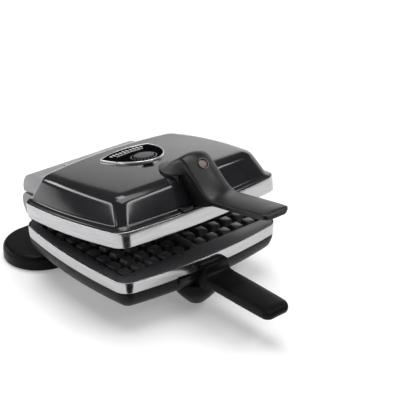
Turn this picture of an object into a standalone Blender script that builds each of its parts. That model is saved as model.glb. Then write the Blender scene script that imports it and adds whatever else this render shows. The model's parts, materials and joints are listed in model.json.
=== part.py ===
"""Double waffle maker with two cooking plates, a hinged lid and a dial.

Units are metres and +Z is up. The cooking body is centred on X = 0. The floor
is z = 0, and +Y points to the hinge at the back. Lid pieces are written where
they are with the lid closed, and their parent then leans the lid open.
"""
import math

import bmesh
import bpy

# ---- driving dimensions -------------------------------------------------
touch_gap = 0.0003          # left between two pieces that meet
fit_gap = 0.0005            # left around a piece that sits in a pocket

half_width = 0.124          # body outline: half size at its corners
half_depth = 0.104
side_bow = 0.008            # how far the sides curve out of the rectangle
front_bow = 0.011
corner_radius = 0.020

casing_bottom = 0.028       # heights above the floor
lower_band_bottom = 0.0599
lower_band_top = 0.0744
band_gap = 0.0015           # between the two steel bands, lid closed
upper_band_height = 0.0192
band_wall = 0.0010
shell_wall = 0.0025

dome_crest_inset_x = 0.018   # the crest's outline, in from the body's
dome_crest_inset_y = 0.022
dome_crest_side_bow = 0.0055
dome_crest_front_bow = 0.007
dome_crest_shift = -0.002   # the crest stands a little forward of the middle
dome_height = 0.0399        # from the band's top edge to the peak of the lid
dome_fall_x = 0.0035        # how far the top falls towards the sides
dome_fall_y = 0.0026        # and towards the front and the back
dome_fillet = 0.009

post_pitch = 0.021
post_foot = 0.0168
post_tip = 0.0138
divider_width = 0.0125      # metal between the two waffles
rim_margin_x = 0.012        # least plain rim beside the waffles
rim_margin_y = 0.0195       # and in front of and behind them
pocket_depth = 0.0110
post_sink = 0.0012          # post tips below the rim
plate_floor = 0.0025        # metal under the pockets
plate_wall = 0.0030         # metal round the hollow under the rim
post_wall = 0.0022          # and round the hollow in each post
plate_play = 0.0010         # between a plate and its steel band
rim_sink = 0.0004           # plate rim below the band's edge

element_radius = 0.00325

hinge_behind = 0.0505       # hinge axis behind the body
hinge_above = 0.00935       # and above the closing plane
pin_radius = 0.0030
pin_play = 0.00006
knuckle_radius = 0.0062
hinge_block_rise = 0.0275   # top of the upper block, above the axis
hinge_block_inset = 0.040   # ends of the hinge blocks, in from the body's corners
lid_angle = math.radians(9.5)   # how far the lid stands open

stand_behind = 0.023        # middle of the stand, behind the body
stand_end_inset = 0.044     # centres of its round ends, in from the body's corners
stand_radius = 0.051
stand_height = 0.020
pad_height = 0.0015
stand_wall = 0.0035
pad_outset = 0.014          # rear pads' centres beyond those of the round ends
shoe_lift = 0.006           # underside of the stand's shoe, above its foot
front_foot_inset = 0.027    # middle of the front foot, in from the body's front
front_foot_radius = 0.033

grip_half_width = 0.0208
grip_drop = 0.0052          # zero of the upper handle's heights, below the closing plane
grip_base_depth = 0.0034    # the base below the handle's parting line
web_half_width = 0.0175
lower_grip_half_width = 0.0195
lower_grip_drop = 0.0041    # its top, below the lower band
lower_grip_thickness = 0.0138
lower_grip_length = 0.122   # from the body's front to its end

badge_half_width = 0.0395
badge_length = 0.0595       # from its widest line to its round front end
badge_behind_front = 0.153  # from the body's front to the badge's widest line
badge_back_bow = 0.0115
badge_ring_width = 0.0018
badge_height = 0.0021
dial_before_badge = 0.036   # dial's middle in front of that line
dial_radius = 0.0130
lever_reach = 0.0305
lever_tab_half = 0.0078
lever_angle = math.radians(-28.0)
lever_sweep = math.radians(56.0)   # to each side of the middle
lever_clearance = math.radians(10.0)  # beyond the lever at each end of its slot

lamp_above_dome = 0.0120
lamp_radius = 0.0062
lamp_tilt = math.radians(51.5)   # its axis leans this far forward of +Z

latch_width = 0.018
latch_travel = 0.003

upper_latch_x = -0.0290
lower_latch_x = -0.0400

cover_inset = 0.044         # bottom cover's opening, in from the outline
screw_radius = 0.0030
screw_head_height = 0.0019
side_steps = 4
corner_steps = 4

# ---- sizes that follow --------------------------------------------------
body_front = half_depth + front_bow
dome_crest_half_width = half_width - dome_crest_inset_x
dome_crest_half_depth = half_depth - dome_crest_inset_y
upper_band_bottom = lower_band_top + band_gap
upper_band_top = upper_band_bottom + upper_band_height
mid_plane = lower_band_top + band_gap / 2
dome_peak = upper_band_top + dome_height
plate_inset = band_wall + plate_play
rim_z = lower_band_top - rim_sink
pocket_z = rim_z - pocket_depth
plate_under = pocket_z - plate_floor
post_rows = int((2 * (half_depth - rim_margin_y)) / post_pitch)
post_columns = int((half_width - rim_margin_x - divider_width / 2) / post_pitch)
pocket_half_y = (post_rows * post_pitch) / 2 + fit_gap
pocket_inner_x = divider_width / 2 - fit_gap
pocket_outer_x = divider_width / 2 + post_columns * post_pitch + fit_gap
hinge_y = body_front + hinge_behind
hinge_z = mid_plane + hinge_above
hinge_block_half = half_width - hinge_block_inset
neck_z = casing_bottom + 0.0023     # foot of the hinge block's neck, on the stand
stand_y = body_front + stand_behind
stand_end_x = half_width - stand_end_inset
front_foot_y = -body_front + front_foot_inset
lower_grip_top = lower_band_bottom - lower_grip_drop
lower_grip_low = lower_grip_top - lower_grip_thickness - 0.0042   # underside of its root
lower_grip_end = -body_front - lower_grip_length
lamp_y = -body_front
lamp_z = dome_peak + lamp_above_dome
badge_y = -body_front + badge_behind_front
dial_y = badge_y - dial_before_badge
centre_shift = -(lower_grip_end + stand_y + stand_radius) / 2
hinge_point = (0.0, hinge_y, hinge_z)
dial_point = (0.0, dial_y, dome_peak)
base_point = (0.0, 0.0, 0.0)


# ---- scene, materials and mesh helpers ----------------------------------
def clear_scene():
    for item in list(bpy.data.objects):
        bpy.data.objects.remove(item)


def material(name, color, roughness, metallic=0.0):
    made = bpy.data.materials.new(name)
    made.use_nodes = True
    shader = made.node_tree.nodes["Principled BSDF"]
    shader.inputs["Base Color"].default_value = (*color, 1.0)
    shader.inputs["Roughness"].default_value = roughness
    shader.inputs["Metallic"].default_value = metallic
    return made


def empty(name, point, parent=None, parent_point=base_point):
    made = bpy.data.objects.new(name, None)
    bpy.context.collection.objects.link(made)
    made.parent = parent
    made.location = [a - b for a, b in zip(point, parent_point)]
    return made


class Body:
    """A group of pieces that move as one, written in closed-lid coordinates."""

    def __init__(self, name, point, parent=None):
        self.point = point
        outer = parent.empty if parent else None
        self.empty = empty(name + "_frame", point, outer, parent.point if parent else base_point)
        self.tool = None

    def add(self, name, mesh_data, finish=None, smooth=35.0):
        bmesh.ops.recalc_face_normals(mesh_data, faces=mesh_data.faces)
        bmesh.ops.translate(mesh_data, verts=mesh_data.verts, vec=[-c for c in self.point])
        data = bpy.data.meshes.new(name)
        mesh_data.to_mesh(data)
        mesh_data.free()
        made = bpy.data.objects.new(name, data)
        bpy.context.collection.objects.link(made)
        made.parent = self.empty
        if finish:
            data.materials.append(finish)
            data.shade_smooth()
            data.set_sharp_from_angle(angle=math.radians(smooth))
        else:
            made.hide_render = True
            made.display_type = "WIRE"
        return made


def boolean(target, tool, operation="DIFFERENCE"):
    modifier = target.modifiers.new(operation.lower(), "BOOLEAN")
    modifier.operation = operation
    modifier.solver = "EXACT"
    modifier.object = tool


def loft(rings, ends="cap"):
    """Skin rings of equal length. ends: cap, loop (back to the first ring) or point lists."""
    mesh_data = bmesh.new()
    rows = [[mesh_data.verts.new(p) for p in ring] for ring in rings]
    count = len(rows[0])
    pairs = list(zip(rows, rows[1:]))
    if ends == "loop":
        pairs.append((rows[-1], rows[0]))
    for low, high in pairs:
        for i in range(count):
            j = (i + 1) % count
            mesh_data.faces.new((low[i], low[j], high[j], high[i]))
    if ends == "cap":
        mesh_data.faces.new(rows[0])
        mesh_data.faces.new(rows[-1])
    return mesh_data


def prism(outline, z_low, z_high):
    return loft([[(x, y, z) for x, y in outline] for z in (z_low, z_high)])


def side_prism(outline, x_low, x_high):
    """A (y, z) outline carried along X."""
    return loft([[(x, y, z) for y, z in outline] for x in (x_low, x_high)])


def box(low, high):
    corners = [(low[0], low[1]), (high[0], low[1]), (high[0], high[1]), (low[0], high[1])]
    return prism(corners, low[2], high[2])


def add_each(body, name, parts, finish):
    """Identical pieces, each in a node of its own."""
    for number, part in enumerate(parts, 1):
        body.add("%s_%d" % (name, number), part, finish)


def circle(radius, steps, turn=0.0):
    angles = [turn + 2 * math.pi * i / steps for i in range(steps)]
    return [(radius * math.cos(a), radius * math.sin(a)) for a in angles]


def turned(profile, point, axis="z", steps=24):
    """Solid of revolution: profile is (radius, distance along the axis)."""
    rings = []
    for radius, along in profile:
        ring = []
        for u, v in circle(radius, steps):
            local = {"z": (u, v, along), "x": (along, u, v), "y": (u, along, v)}[axis]
            ring.append(tuple(a + b for a, b in zip(local, point)))
        rings.append(ring)
    return loft(rings)


def tube(radius_in, radius_out, low, high, point, axis="z", steps=24):
    profile = [(radius_out, low), (radius_out, high), (radius_in, high), (radius_in, low)]
    rings = []
    for radius, along in profile:
        ring = []
        for u, v in circle(radius, steps):
            local = {"z": (u, v, along), "x": (along, u, v), "y": (u, along, v)}[axis]
            ring.append(tuple(a + b for a, b in zip(local, point)))
        rings.append(ring)
    return loft(rings, "loop")


def tilt_about_x(mesh_data, point, angle):
    matrix = [math.cos(angle), math.sin(angle)]
    for vert in mesh_data.verts:
        y = vert.co.y - point[1]
        z = vert.co.z - point[2]
        vert.co.y = point[1] + matrix[0] * y - matrix[1] * z
        vert.co.z = point[2] + matrix[1] * y + matrix[0] * z
    return mesh_data


# ---- the body's outline -------------------------------------------------
def circle_meeting(centre_a, radius_a, centre_b, radius_b):
    """The crossing point of two circles that lies in the first quadrant."""
    dx = centre_b[0] - centre_a[0]
    dy = centre_b[1] - centre_a[1]
    distance = math.hypot(dx, dy)
    along = (radius_a ** 2 - radius_b ** 2 + distance ** 2) / (2 * distance)
    aside = math.sqrt(max(radius_a ** 2 - along ** 2, 0.0))
    base = (centre_a[0] + along * dx / distance, centre_a[1] + along * dy / distance)
    choices = [(base[0] + s * aside * dy / distance, base[1] - s * aside * dx / distance)
               for s in (1, -1)]
    return max(choices, key=lambda p: p[0] + p[1])


def bowed_outline(half_x, half_y, bow_x, bow_y, radius, shift_y=0.0):
    """Rectangle with four arched sides and round corners, counter-clockwise."""
    long_radius = (half_x ** 2 + bow_y ** 2) / (2 * bow_y)
    side_radius = (half_y ** 2 + bow_x ** 2) / (2 * bow_x)
    long_centre = (0.0, half_y + bow_y - long_radius)
    side_centre = (half_x + bow_x - side_radius, 0.0)
    corner = circle_meeting(long_centre, long_radius - radius, side_centre, side_radius - radius)
    side_end = math.atan2(corner[1], corner[0] - side_centre[0])
    long_start = math.atan2(corner[1] - long_centre[1], corner[0])
    quarter = []
    for i in range(side_steps // 2):
        angle = side_end * i / (side_steps // 2)
        quarter.append((side_centre[0] + side_radius * math.cos(angle),
                        side_radius * math.sin(angle)))
    for i in range(corner_steps + 1):
        angle = side_end + (long_start - side_end) * i / corner_steps
        quarter.append((corner[0] + radius * math.cos(angle), corner[1] + radius * math.sin(angle)))
    for i in range(1, side_steps // 2):
        angle = long_start + (math.pi / 2 - long_start) * i / (side_steps // 2)
        quarter.append((long_radius * math.cos(angle),
                        long_centre[1] + long_radius * math.sin(angle)))
    top = (0.0, half_y + bow_y)
    right = quarter[:]
    left = [(-x, y) for x, y in reversed(quarter[1:])]
    upper = right + [top] + left + [(-quarter[0][0], 0.0)]
    lower = [(-x, -y) for x, y in upper[1:-1]]
    return [(x, y + shift_y) for x, y in upper + lower]


def body_outline(inset=0.0):
    return bowed_outline(half_width - inset, half_depth - inset, side_bow, front_bow,
                         max(corner_radius - inset, 0.008))


def body_ring(inset, z):
    return [(x, y, z) for x, y in body_outline(inset)]


# ---- the lid's dome -----------------------------------------------------
def dome_top(x, y):
    across = x / (dome_crest_half_width + dome_crest_side_bow)
    along = (y - dome_crest_shift) / (dome_crest_half_depth + dome_crest_front_bow)
    return dome_peak - dome_fall_x * across ** 2 - dome_fall_y * along ** 2


def dome_wall_ring(share, out, wall_foot):
    """A ring on the dome's wall. share: 0 at the foot, 1 at the crest; out: offset."""
    def mix(low, high):
        return low + (high - low) * share
    return bowed_outline(mix(half_width - wall_foot, dome_crest_half_width) + out,
                         mix(half_depth - wall_foot, dome_crest_half_depth) + out,
                         mix(side_bow, dome_crest_side_bow),
                         mix(front_bow - 0.001, dome_crest_front_bow),
                         mix(0.015, 0.017) + out, mix(0.0, dome_crest_shift))


def dome_rings(offset):
    """Rings from the dome's foot to its middle, offset outwards from its surface."""
    foot_z = upper_band_top + 0.0029
    rings = [[(x, y, foot_z) for x, y in dome_wall_ring(0.0, offset, 0.0065)]]
    for share in (0.37, 0.74):
        plain = dome_wall_ring(share, offset, 0.0065)
        rings.append([(x, y, foot_z + (dome_top(x, y) - foot_z) * share) for x, y in plain])
    for out, drop in ((0.0008, 0.0040), (-0.0026, 0.0013), (-dome_fillet, 0.0)):
        bend = dome_wall_ring(1.0, out + offset * (1 if out > -0.005 else 0), 0.0)
        rings.append([(x, y, dome_top(x, y) - drop + offset) for x, y in bend])
    for share in (0.72, 0.42, 0.12):
        crest = dome_wall_ring(1.0, -dome_fillet, 0.0)
        inner = [(x * share, (y - dome_crest_shift) * share + dome_crest_shift) for x, y in crest]
        rings.append([(x, y, dome_top(x, y) + offset) for x, y in inner])
    return rings


def make_lid_casing(lid, finish):
    flange = [body_ring(0.0020, upper_band_top + 0.0004), body_ring(0.0020, upper_band_top + 0.0016),
              body_ring(0.0058, upper_band_top + 0.0020)]
    seat = [body_ring(0.0120, upper_band_top + 0.0030), body_ring(0.0060, upper_band_top + 0.0004)]
    outer = flange + dome_rings(0.0)
    inner = dome_rings(-shell_wall)[1:]
    casing = lid.add("lid_casing", closed_shell(outer, list(reversed(inner)) + seat), finish)
    shaft_hole = lid.add("cut_shaft_hole", turned(
        [(0.0044, -0.008), (0.0044, 0.004)], dial_point, steps=20))
    boolean(casing, shaft_hole)
    slot = lid.add("cut_upper_latch_slot", box(
        (upper_latch_x - latch_width / 2 - fit_gap, -half_depth - front_bow - 0.002,
         upper_band_top - 0.001),
        (upper_latch_x + latch_width / 2 + fit_gap, -half_depth + 0.012,
         upper_band_top + 0.0064)))
    boolean(casing, slot)
    return casing


def closed_shell(outer, inner):
    """Outer rings up to a closed top, then inner rings down, joined along the open edge."""
    mesh_data = bmesh.new()
    rows = [[mesh_data.verts.new(p) for p in ring] for ring in outer + inner]
    count = len(rows[0])
    turn = len(outer)
    for index, (low, high) in enumerate(zip(rows, rows[1:] + rows[:1])):
        if index == turn - 1:
            continue
        for i in range(count):
            j = (i + 1) % count
            mesh_data.faces.new((low[i], low[j], high[j], high[i]))
    mesh_data.faces.new(rows[turn - 1])
    mesh_data.faces.new(rows[turn])
    return mesh_data


def lid_tool(lid, name, offset):
    """The lid's whole outer shape, a little larger, to cut what sits on it."""
    low = [body_ring(-offset, upper_band_bottom - 0.002), body_ring(-offset, upper_band_top + offset),
           body_ring(0.0020 - offset, upper_band_top + offset + 0.0001),
           body_ring(0.0020 - offset, upper_band_top + offset + 0.0016),
           body_ring(0.0058 - offset, upper_band_top + offset + 0.0020)]
    return lid.add(name, loft(low + dome_rings(offset)))


def body_profile():
    """Lower casing: (inset from the outline, height) from its top edge to its floor."""
    top = lower_band_bottom - touch_gap
    fall = top - casing_bottom
    return [(0.0006, top), (0.0014, top - 0.24 * fall), (0.0042, top - 0.50 * fall),
            (0.0088, top - 0.69 * fall), (0.0150, top - 0.84 * fall),
            (0.0220, top - 0.95 * fall), (0.0310, casing_bottom)]


def body_tool(base, name, offset):
    """The lower body's outer shape, a little larger, to cut what sits against it."""
    rings = [body_ring(-offset, lower_band_top + 0.010), body_ring(-offset, lower_band_bottom - 0.001)]
    for inset, z in body_profile()[1:]:
        rings.append(body_ring(inset - offset, z - offset))
    return base.add(name, loft(rings))


# ---- lower body ---------------------------------------------------------
def make_lower_casing(base, finish):
    outer = [body_ring(inset, z) for inset, z in body_profile()]
    outer.append(body_ring(cover_inset, casing_bottom))
    floor_z = casing_bottom + shell_wall
    inner = [body_ring(cover_inset, floor_z)]
    for inset, z in reversed(body_profile()[1:]):
        inner.append(body_ring(inset + shell_wall, max(z + 0.4 * shell_wall, floor_z)))
    inner.append(body_ring(body_profile()[0][0] + shell_wall, body_profile()[0][1]))
    casing = base.add("lower_casing", loft(outer + inner, "loop"), finish)
    slot = base.add("cut_lower_latch_slot", box(
        (lower_latch_x - latch_width / 2 - fit_gap, -half_depth - front_bow - 0.004,
         lower_band_bottom - 0.0098),
        (lower_latch_x + latch_width / 2 + fit_gap, -half_depth + 0.012,
         lower_band_bottom - 0.0014)))
    boolean(casing, slot)
    return casing


def make_band(body, name, z_low, z_high, finish):
    rings = [body_ring(0.0, z_low), body_ring(0.0, z_high),
             body_ring(band_wall, z_high), body_ring(band_wall, z_low)]
    return body.add(name, loft(rings, "loop"), finish)


def pocket_tool(x_low, x_high, z_floor, z_open, z_tip):
    """The batter space of one waffle: a box whose floor is dented by the posts."""
    mesh_data = bmesh.new()
    cells = [(post_columns, x_low, x_high), (post_rows, -pocket_half_y, pocket_half_y)]
    lines = [[low + (high - low) * i / n for i in range(n + 1)] for n, low, high in cells]
    grid = [[mesh_data.verts.new((x, y, z_floor)) for x in lines[0]] for y in lines[1]]
    floor = []
    for row, above in zip(grid, grid[1:]):
        for i in range(post_columns):
            floor.append(mesh_data.faces.new((row[i], row[i + 1], above[i + 1], above[i])))
    edge_loop = [grid[0][i] for i in range(post_columns + 1)]
    edge_loop += [grid[j][-1] for j in range(1, post_rows + 1)]
    edge_loop += [grid[-1][i] for i in range(post_columns - 1, -1, -1)]
    edge_loop += [grid[j][0] for j in range(post_rows - 1, 0, -1)]
    middle_x = (x_low + x_high) / 2
    flare = 0.0012
    lid_loop = []
    for vert in edge_loop:
        side = (flare if vert.co.x > middle_x else -flare) if vert.co.x in (x_low, x_high) else 0.0
        end = math.copysign(flare, vert.co.y) if abs(vert.co.y) == abs(grid[0][0].co.y) else 0.0
        lid_loop.append(mesh_data.verts.new((vert.co.x + side, vert.co.y + end, z_open)))
    for i in range(len(edge_loop)):
        j = (i + 1) % len(edge_loop)
        mesh_data.faces.new((edge_loop[i], edge_loop[j], lid_loop[j], lid_loop[i]))
    mesh_data.faces.new(lid_loop)
    bmesh.ops.inset_individual(mesh_data, faces=floor, thickness=(post_pitch - post_foot) / 2)
    raised = bmesh.ops.extrude_discrete_faces(mesh_data, faces=floor)["faces"]
    for face in raised:
        centre = face.calc_center_median()
        for vert in face.verts:
            vert.co.x = centre.x + (vert.co.x - centre.x) * post_tip / post_foot
            vert.co.y = centre.y + (vert.co.y - centre.y) * post_tip / post_foot
            vert.co.z = z_tip
    return mesh_data


def post_hollows(x_low, x_high, z_open, z_tip):
    """Tapered blocks that hollow the posts of one waffle from behind."""
    cell_x = (x_high - x_low) / post_columns
    cell_y = 2 * pocket_half_y / post_rows
    blocks = bmesh.new()
    for i in range(post_columns):
        for j in range(post_rows):
            x = x_low + (i + 0.5) * cell_x
            y = -pocket_half_y + (j + 0.5) * cell_y
            ends = []
            for wide, z in ((post_foot, z_open), (post_tip, z_tip)):
                half = wide / 2 - post_wall
                ends.append([blocks.verts.new((x + u * half, y + v * half, z))
                             for u, v in ((-1, -1), (1, -1), (1, 1), (-1, 1))])
            blocks.faces.new(ends[0][::-1])
            blocks.faces.new(ends[1])
            for k in range(4):
                m = (k + 1) % 4
                blocks.faces.new((ends[0][k], ends[0][m], ends[1][m], ends[1][k]))
    bmesh.ops.recalc_face_normals(blocks, faces=blocks.faces[:])
    return blocks


def make_plate(body, name, side, finish):
    """side: 1 for the lower plate, -1 for the upper one, mirrored at the closing plane."""
    def level(z):
        return z if side > 0 else 2 * mid_plane - z
    rings = [body_ring(plate_inset + 0.0004, level(plate_under)), body_ring(plate_inset, level(rim_z - 0.001)),
             body_ring(plate_inset + 0.001, level(rim_z))]
    plate = body.add(name, loft(rings), finish, 25.0)
    hollow = body.add("cut_%s_hollow" % name, loft([
        [(x, y, level(z)) for x, y, _ in body_ring(plate_inset + plate_wall, 0.0)]
        for z in (plate_under - 0.001, rim_z - plate_wall)]))
    reach_x, reach_y = pocket_outer_x + plate_wall, pocket_half_y + plate_wall
    core = box((-reach_x, -reach_y, level(plate_under) - 0.02), (reach_x, reach_y, level(plate_under) + 0.02))
    boolean(hollow, body.add("cut_%s_core" % name, core))
    boolean(plate, hollow)
    for label, x_low, x_high in (("left", -pocket_outer_x, -pocket_inner_x),
                                 ("right", pocket_inner_x, pocket_outer_x)):
        tool = pocket_tool(x_low, x_high, level(pocket_z), level(rim_z + 0.002), level(rim_z - post_sink))
        boolean(plate, body.add("cut_%s_%s" % (name, label), tool))
        tip = level(rim_z - post_sink - post_wall)
        blocks = post_hollows(x_low, x_high, level(plate_under - 0.001), tip)
        boolean(plate, body.add("cut_%s_%s_posts" % (name, label), blocks))
    return plate


def element_path():
    """Half of a flat loop heating element in plan, from one terminal to the middle."""
    side = half_width - 0.032
    back = half_depth - 0.016
    front = -half_depth + 0.034
    return [(0.016, back), (0.016, 0.050), (0.030, 0.036), (side - 0.014, 0.036), (side, 0.022),
            (side, front + 0.014), (side - 0.014, front), (0.062, front), (0.048, front + 0.014),
            (0.048, -0.026), (0.036, -0.014), (0.0, -0.014)]


def make_element(body, name, z, finish):
    half = element_path()
    points = half + [(-x, y) for x, y in reversed(half[:-1])]
    curve = bpy.data.curves.new(name, "CURVE")
    curve.dimensions = "3D"
    curve.bevel_depth = element_radius
    curve.bevel_resolution = 1
    curve.use_fill_caps = True
    spline = curve.splines.new("POLY")
    spline.points.add(len(points) - 1)
    for target, (x, y) in zip(spline.points, points):
        target.co = (x - body.point[0], y - body.point[1], z - body.point[2], 1.0)
    made = bpy.data.objects.new(name, curve)
    bpy.context.collection.objects.link(made)
    curve.materials.append(finish)
    made.parent = body.empty
    return made


def make_tray(body, name, z, side, finish):
    """Thin reflector tray with a turned rim; side 1 opens upwards, -1 downwards."""
    rise = 0.0030 * side
    wall = 0.0008 * side
    rings = [body_ring(0.0150, z + rise), body_ring(0.0190, z), body_ring(0.0195, z + wall),
             body_ring(0.0156, z + rise)]
    floor = [body_ring(0.0300, z), body_ring(0.0300, z + wall)]
    shell = [rings[0], rings[1], floor[0]]
    inside = [floor[1], rings[2], rings[3]]
    return body.add(name, closed_shell(shell, inside), finish)


def screw_head(point, out, radius=screw_radius):
    """Pan head of a screw that stands along Z; out is +1 or -1, the way it faces."""
    tall = screw_head_height * out
    profile = [(radius * 0.55, tall), (radius * 0.92, 0.74 * tall), (radius, 0.32 * tall), (radius, 0.0)]
    return turned(profile, point, "z", 12)


# ---- stand and feet -----------------------------------------------------
def stadium(half_length, radius, centre_y, steps=10):
    points = []
    for sign, start in ((1, -math.pi / 2), (-1, math.pi / 2)):
        for i in range(steps + 1):
            angle = start + math.pi * i / steps
            points.append((sign * half_length + radius * math.cos(angle),
                           centre_y + radius * math.sin(angle)))
    return points


def make_rear_stand(base, finish):
    top = pad_height + stand_height
    rings = []
    for shrink, z in ((0.0010, pad_height), (0.0, pad_height + 0.0015), (0.0, top - 0.0080),
                      (0.0018, top - 0.0035), (0.0045, top - 0.0012), (0.0085, top)):
        rings.append([(x, y, z) for x, y in stadium(stand_end_x, stand_radius - shrink, stand_y)])
    stand = base.add("rear_stand", loft(rings), finish)
    hollow = loft([[(x, y, z) for x, y in stadium(stand_end_x, stand_radius - shrink, stand_y)]
                   for shrink, z in ((stand_wall, pad_height - 0.001), (stand_wall, top - 0.0085),
                                     (stand_wall + 0.0045, top - stand_wall))])
    boolean(stand, base.add("cut_stand_hollow", hollow))
    for side in (-1, 1):
        boss = turned([(0.0145, pad_height), (0.0145, top - stand_wall / 2)],
                      (side * (stand_end_x + pad_outset), stand_y, 0.0), steps=24)
        boolean(stand, base.add("cut_boss_%s" % ("left" if side < 0 else "right"), boss), "UNION")
    shoe = base.add("cut_shoe", box((-0.055, stand_y - 0.086, pad_height + shoe_lift),
                                    (0.055, stand_y - 0.026, casing_bottom - touch_gap)))
    boolean(stand, shoe, "UNION")
    post = base.add("cut_post", box((-0.050, stand_y - 0.018, top / 2),
                                    (0.050, stand_y + 0.020, neck_z - touch_gap)))
    boolean(stand, post, "UNION")
    return stand


def make_pads(base, finish):
    pads = []
    for x in (-stand_end_x - pad_outset, stand_end_x + pad_outset):
        pads.append(turned([(0.0120, 0.0), (0.0125, 0.0004), (0.0125, pad_height - touch_gap)],
                           (x, stand_y, 0.0), steps=20))
    pads.append(turned([(0.0105, 0.0), (0.0110, 0.0004), (0.0110, pad_height - touch_gap)],
                       (0.0, front_foot_y, 0.0), steps=20))
    add_each(base, "rubber_pad", pads, finish)


def make_front_foot(base, finish):
    rise = casing_bottom + 0.0095 - pad_height
    shares = [(0.35, 0.0), (0.39, 0.02), (0.53, 0.15), (0.70, 0.32), (0.865, 0.53), (0.965, 0.74),
              (1.0, 0.945), (0.975, 1.0)]
    profile = [(front_foot_radius * wide, pad_height + rise * up) for wide, up in shares]
    foot = base.add("front_foot", turned(profile, (0.0, front_foot_y, 0.0), steps=32), finish)
    boolean(foot, base.tool)
    return foot


# ---- handles ------------------------------------------------------------
def grip_section(half, top, bottom, crown, y, steps=6, chamfer=0.004):
    """Cross-section of a grip at one place along Y: arched top, chamfered underside."""
    points = [(-half + chamfer, y, bottom), (-half, y, bottom + chamfer)]
    for i in range(steps + 1):
        x = half * (2 * i / steps - 1)
        points.append((x, y, top + crown * (1 - (x / half) ** 2)))
    points += [(half, y, bottom + chamfer), (half - chamfer, y, bottom)]
    return points


def make_lower_handle(base, finish):
    root_y = -body_front - 2 * touch_gap
    rings = []
    end = lower_grip_end
    for y, narrow, drop in ((end, 0.0070, 0.0048), (end + 0.0025, 0.0042, 0.0022),
                            (end + 0.0070, 0.0020, 0.0006), (end + 0.0150, 0.0010, 0.0),
                            (end + 0.060, 0.0, 0.0), (root_y - 0.014, 0.0, 0.0)):
        rings.append(grip_section(lower_grip_half_width - narrow, lower_grip_top - drop,
                                  lower_grip_top - lower_grip_thickness + drop, 0.0006, y))
    handle = base.add("lower_handle", loft(rings), finish)
    front = root_y - 0.0115
    top = lower_band_bottom + 0.62 * (lower_band_top - lower_band_bottom)
    low = lower_grip_low
    outline = [(root_y + 0.012, low), (front - 0.002, low), (front - 0.012, low + 0.0044),
               (front - 0.012, lower_grip_top - 0.001), (front - 0.0050, lower_grip_top + 0.0008),
               (front - 0.0012, lower_grip_top + 0.0040), (front, top - 0.0022),
               (front + 0.0020, top), (root_y + 0.012, top)]
    root = base.add("cut_lower_root", side_prism(outline, -lower_grip_half_width + 0.0004,
                                                 lower_grip_half_width - 0.0004))
    boolean(handle, root, "UNION")
    boolean(handle, base.tool)
    return handle


# Upper handle, cover. Its rows run from the grip's end to the point of its nose: y and z on top,
# y and z at the parting line, half width on top and below, arch. They are drawn for a body whose
# front is at 0.115 and a crest 0.0652 above the handle's zero, and follow both when those move.
def cover_stations():
    z = mid_plane - grip_drop
    forward = 0.115 - body_front
    lift = dome_peak - z - 0.06505
    rows = [(-0.2380, 0.0405, -0.2380, 0.0386, -0.0058, -0.0063, 0.0010),
            (-0.2360, 0.0418, -0.2360, 0.0380, -0.0028, -0.0033, 0.0014),
            (-0.2310, 0.0425, -0.2310, 0.0378, -0.0010, -0.0015, 0.0018),
            (-0.2000, 0.0425, -0.2000, 0.0378, 0.0000, -0.0005, 0.0022),
            (-0.1600, 0.0425, -0.1600, 0.0378, 0.0000, -0.0005, 0.0026),
            (-0.1470, 0.0431, -0.1455, 0.0380, 0.0000, -0.0005, 0.0032),
            (-0.1390, 0.0462, -0.1350, 0.0408, 0.0000, -0.0005, 0.0040),
            (-0.1300, 0.0535, -0.1258, 0.0480, 0.0000, -0.0005, 0.0046),
            (-0.1185, 0.0660, -0.1140, 0.0612, 0.0000, -0.0005, 0.0050),
            (-0.1085, 0.0770, -0.1035, 0.0668, -0.0002, 0.0004, 0.0052),
            (-0.1030, 0.0825, -0.0985, 0.0667, -0.0003, 0.0017, 0.0050),
            (-0.0965, 0.0845, -0.0940, 0.0666, -0.0001, 0.0032, 0.0044),
            (-0.0870, 0.0818, -0.0870, 0.0664, 0.0007, 0.0064, 0.0040),
            (-0.0760, 0.0768, -0.0760, 0.0662, 0.0010, 0.0072, 0.0038),
            (-0.0630, 0.0712, -0.0620, 0.0660, -0.0018, 0.0038, 0.0034),
            (-0.0520, 0.0685, -0.0500, 0.0658, -0.0076, -0.0030, 0.0022),
            (-0.0440, 0.0672, -0.0420, 0.0656, -0.0138, -0.0103, 0.0010),
            (-0.0405, 0.0666, -0.0385, 0.0655, -0.0183, -0.0158, 0.0003)]
    placed = []
    for y, up, under_y, down, wide, wide_low, arch in rows:
        share = min(max((y + 0.147) / 0.0385, 0.0), 1.0)
        placed.append((y + forward, z + up + lift * share, under_y + forward, z + down + lift * share,
                       grip_half_width + wide, grip_half_width + wide_low, arch))
    return placed


def make_handle_cover(lid, finish):
    rows = cover_stations()
    rings = []
    for i, (y, z, under_y, under_z, wide, wide_low, arch) in enumerate(rows):
        before = rows[max(i - 1, 0)]
        after = rows[min(i + 1, len(rows) - 1)]
        run = math.hypot(after[0] - before[0], after[1] - before[1])
        out_y = -(after[1] - before[1]) / run
        out_z = (after[0] - before[0]) / run
        ring = [(-wide_low, under_y, under_z)]
        for step in range(7):
            x = wide * (step / 3 - 1)
            lift = arch * (1 - (x / wide) ** 2)
            ring.append((x, y + out_y * lift, z + out_z * lift))
        ring.append((wide_low, under_y, under_z))
        rings.append(ring)
    cover = lid.add("upper_handle_cover", loft(rings), finish)
    hole = turned([(lamp_radius + 0.0013, -0.0075), (lamp_radius + 0.0013, 0.012)],
                  (0.0, lamp_y, lamp_z), steps=24)
    boolean(cover, lid.add("cut_lamp_hole", tilt_about_x(hole, (0.0, lamp_y, lamp_z), lamp_tilt)))
    return cover


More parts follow.
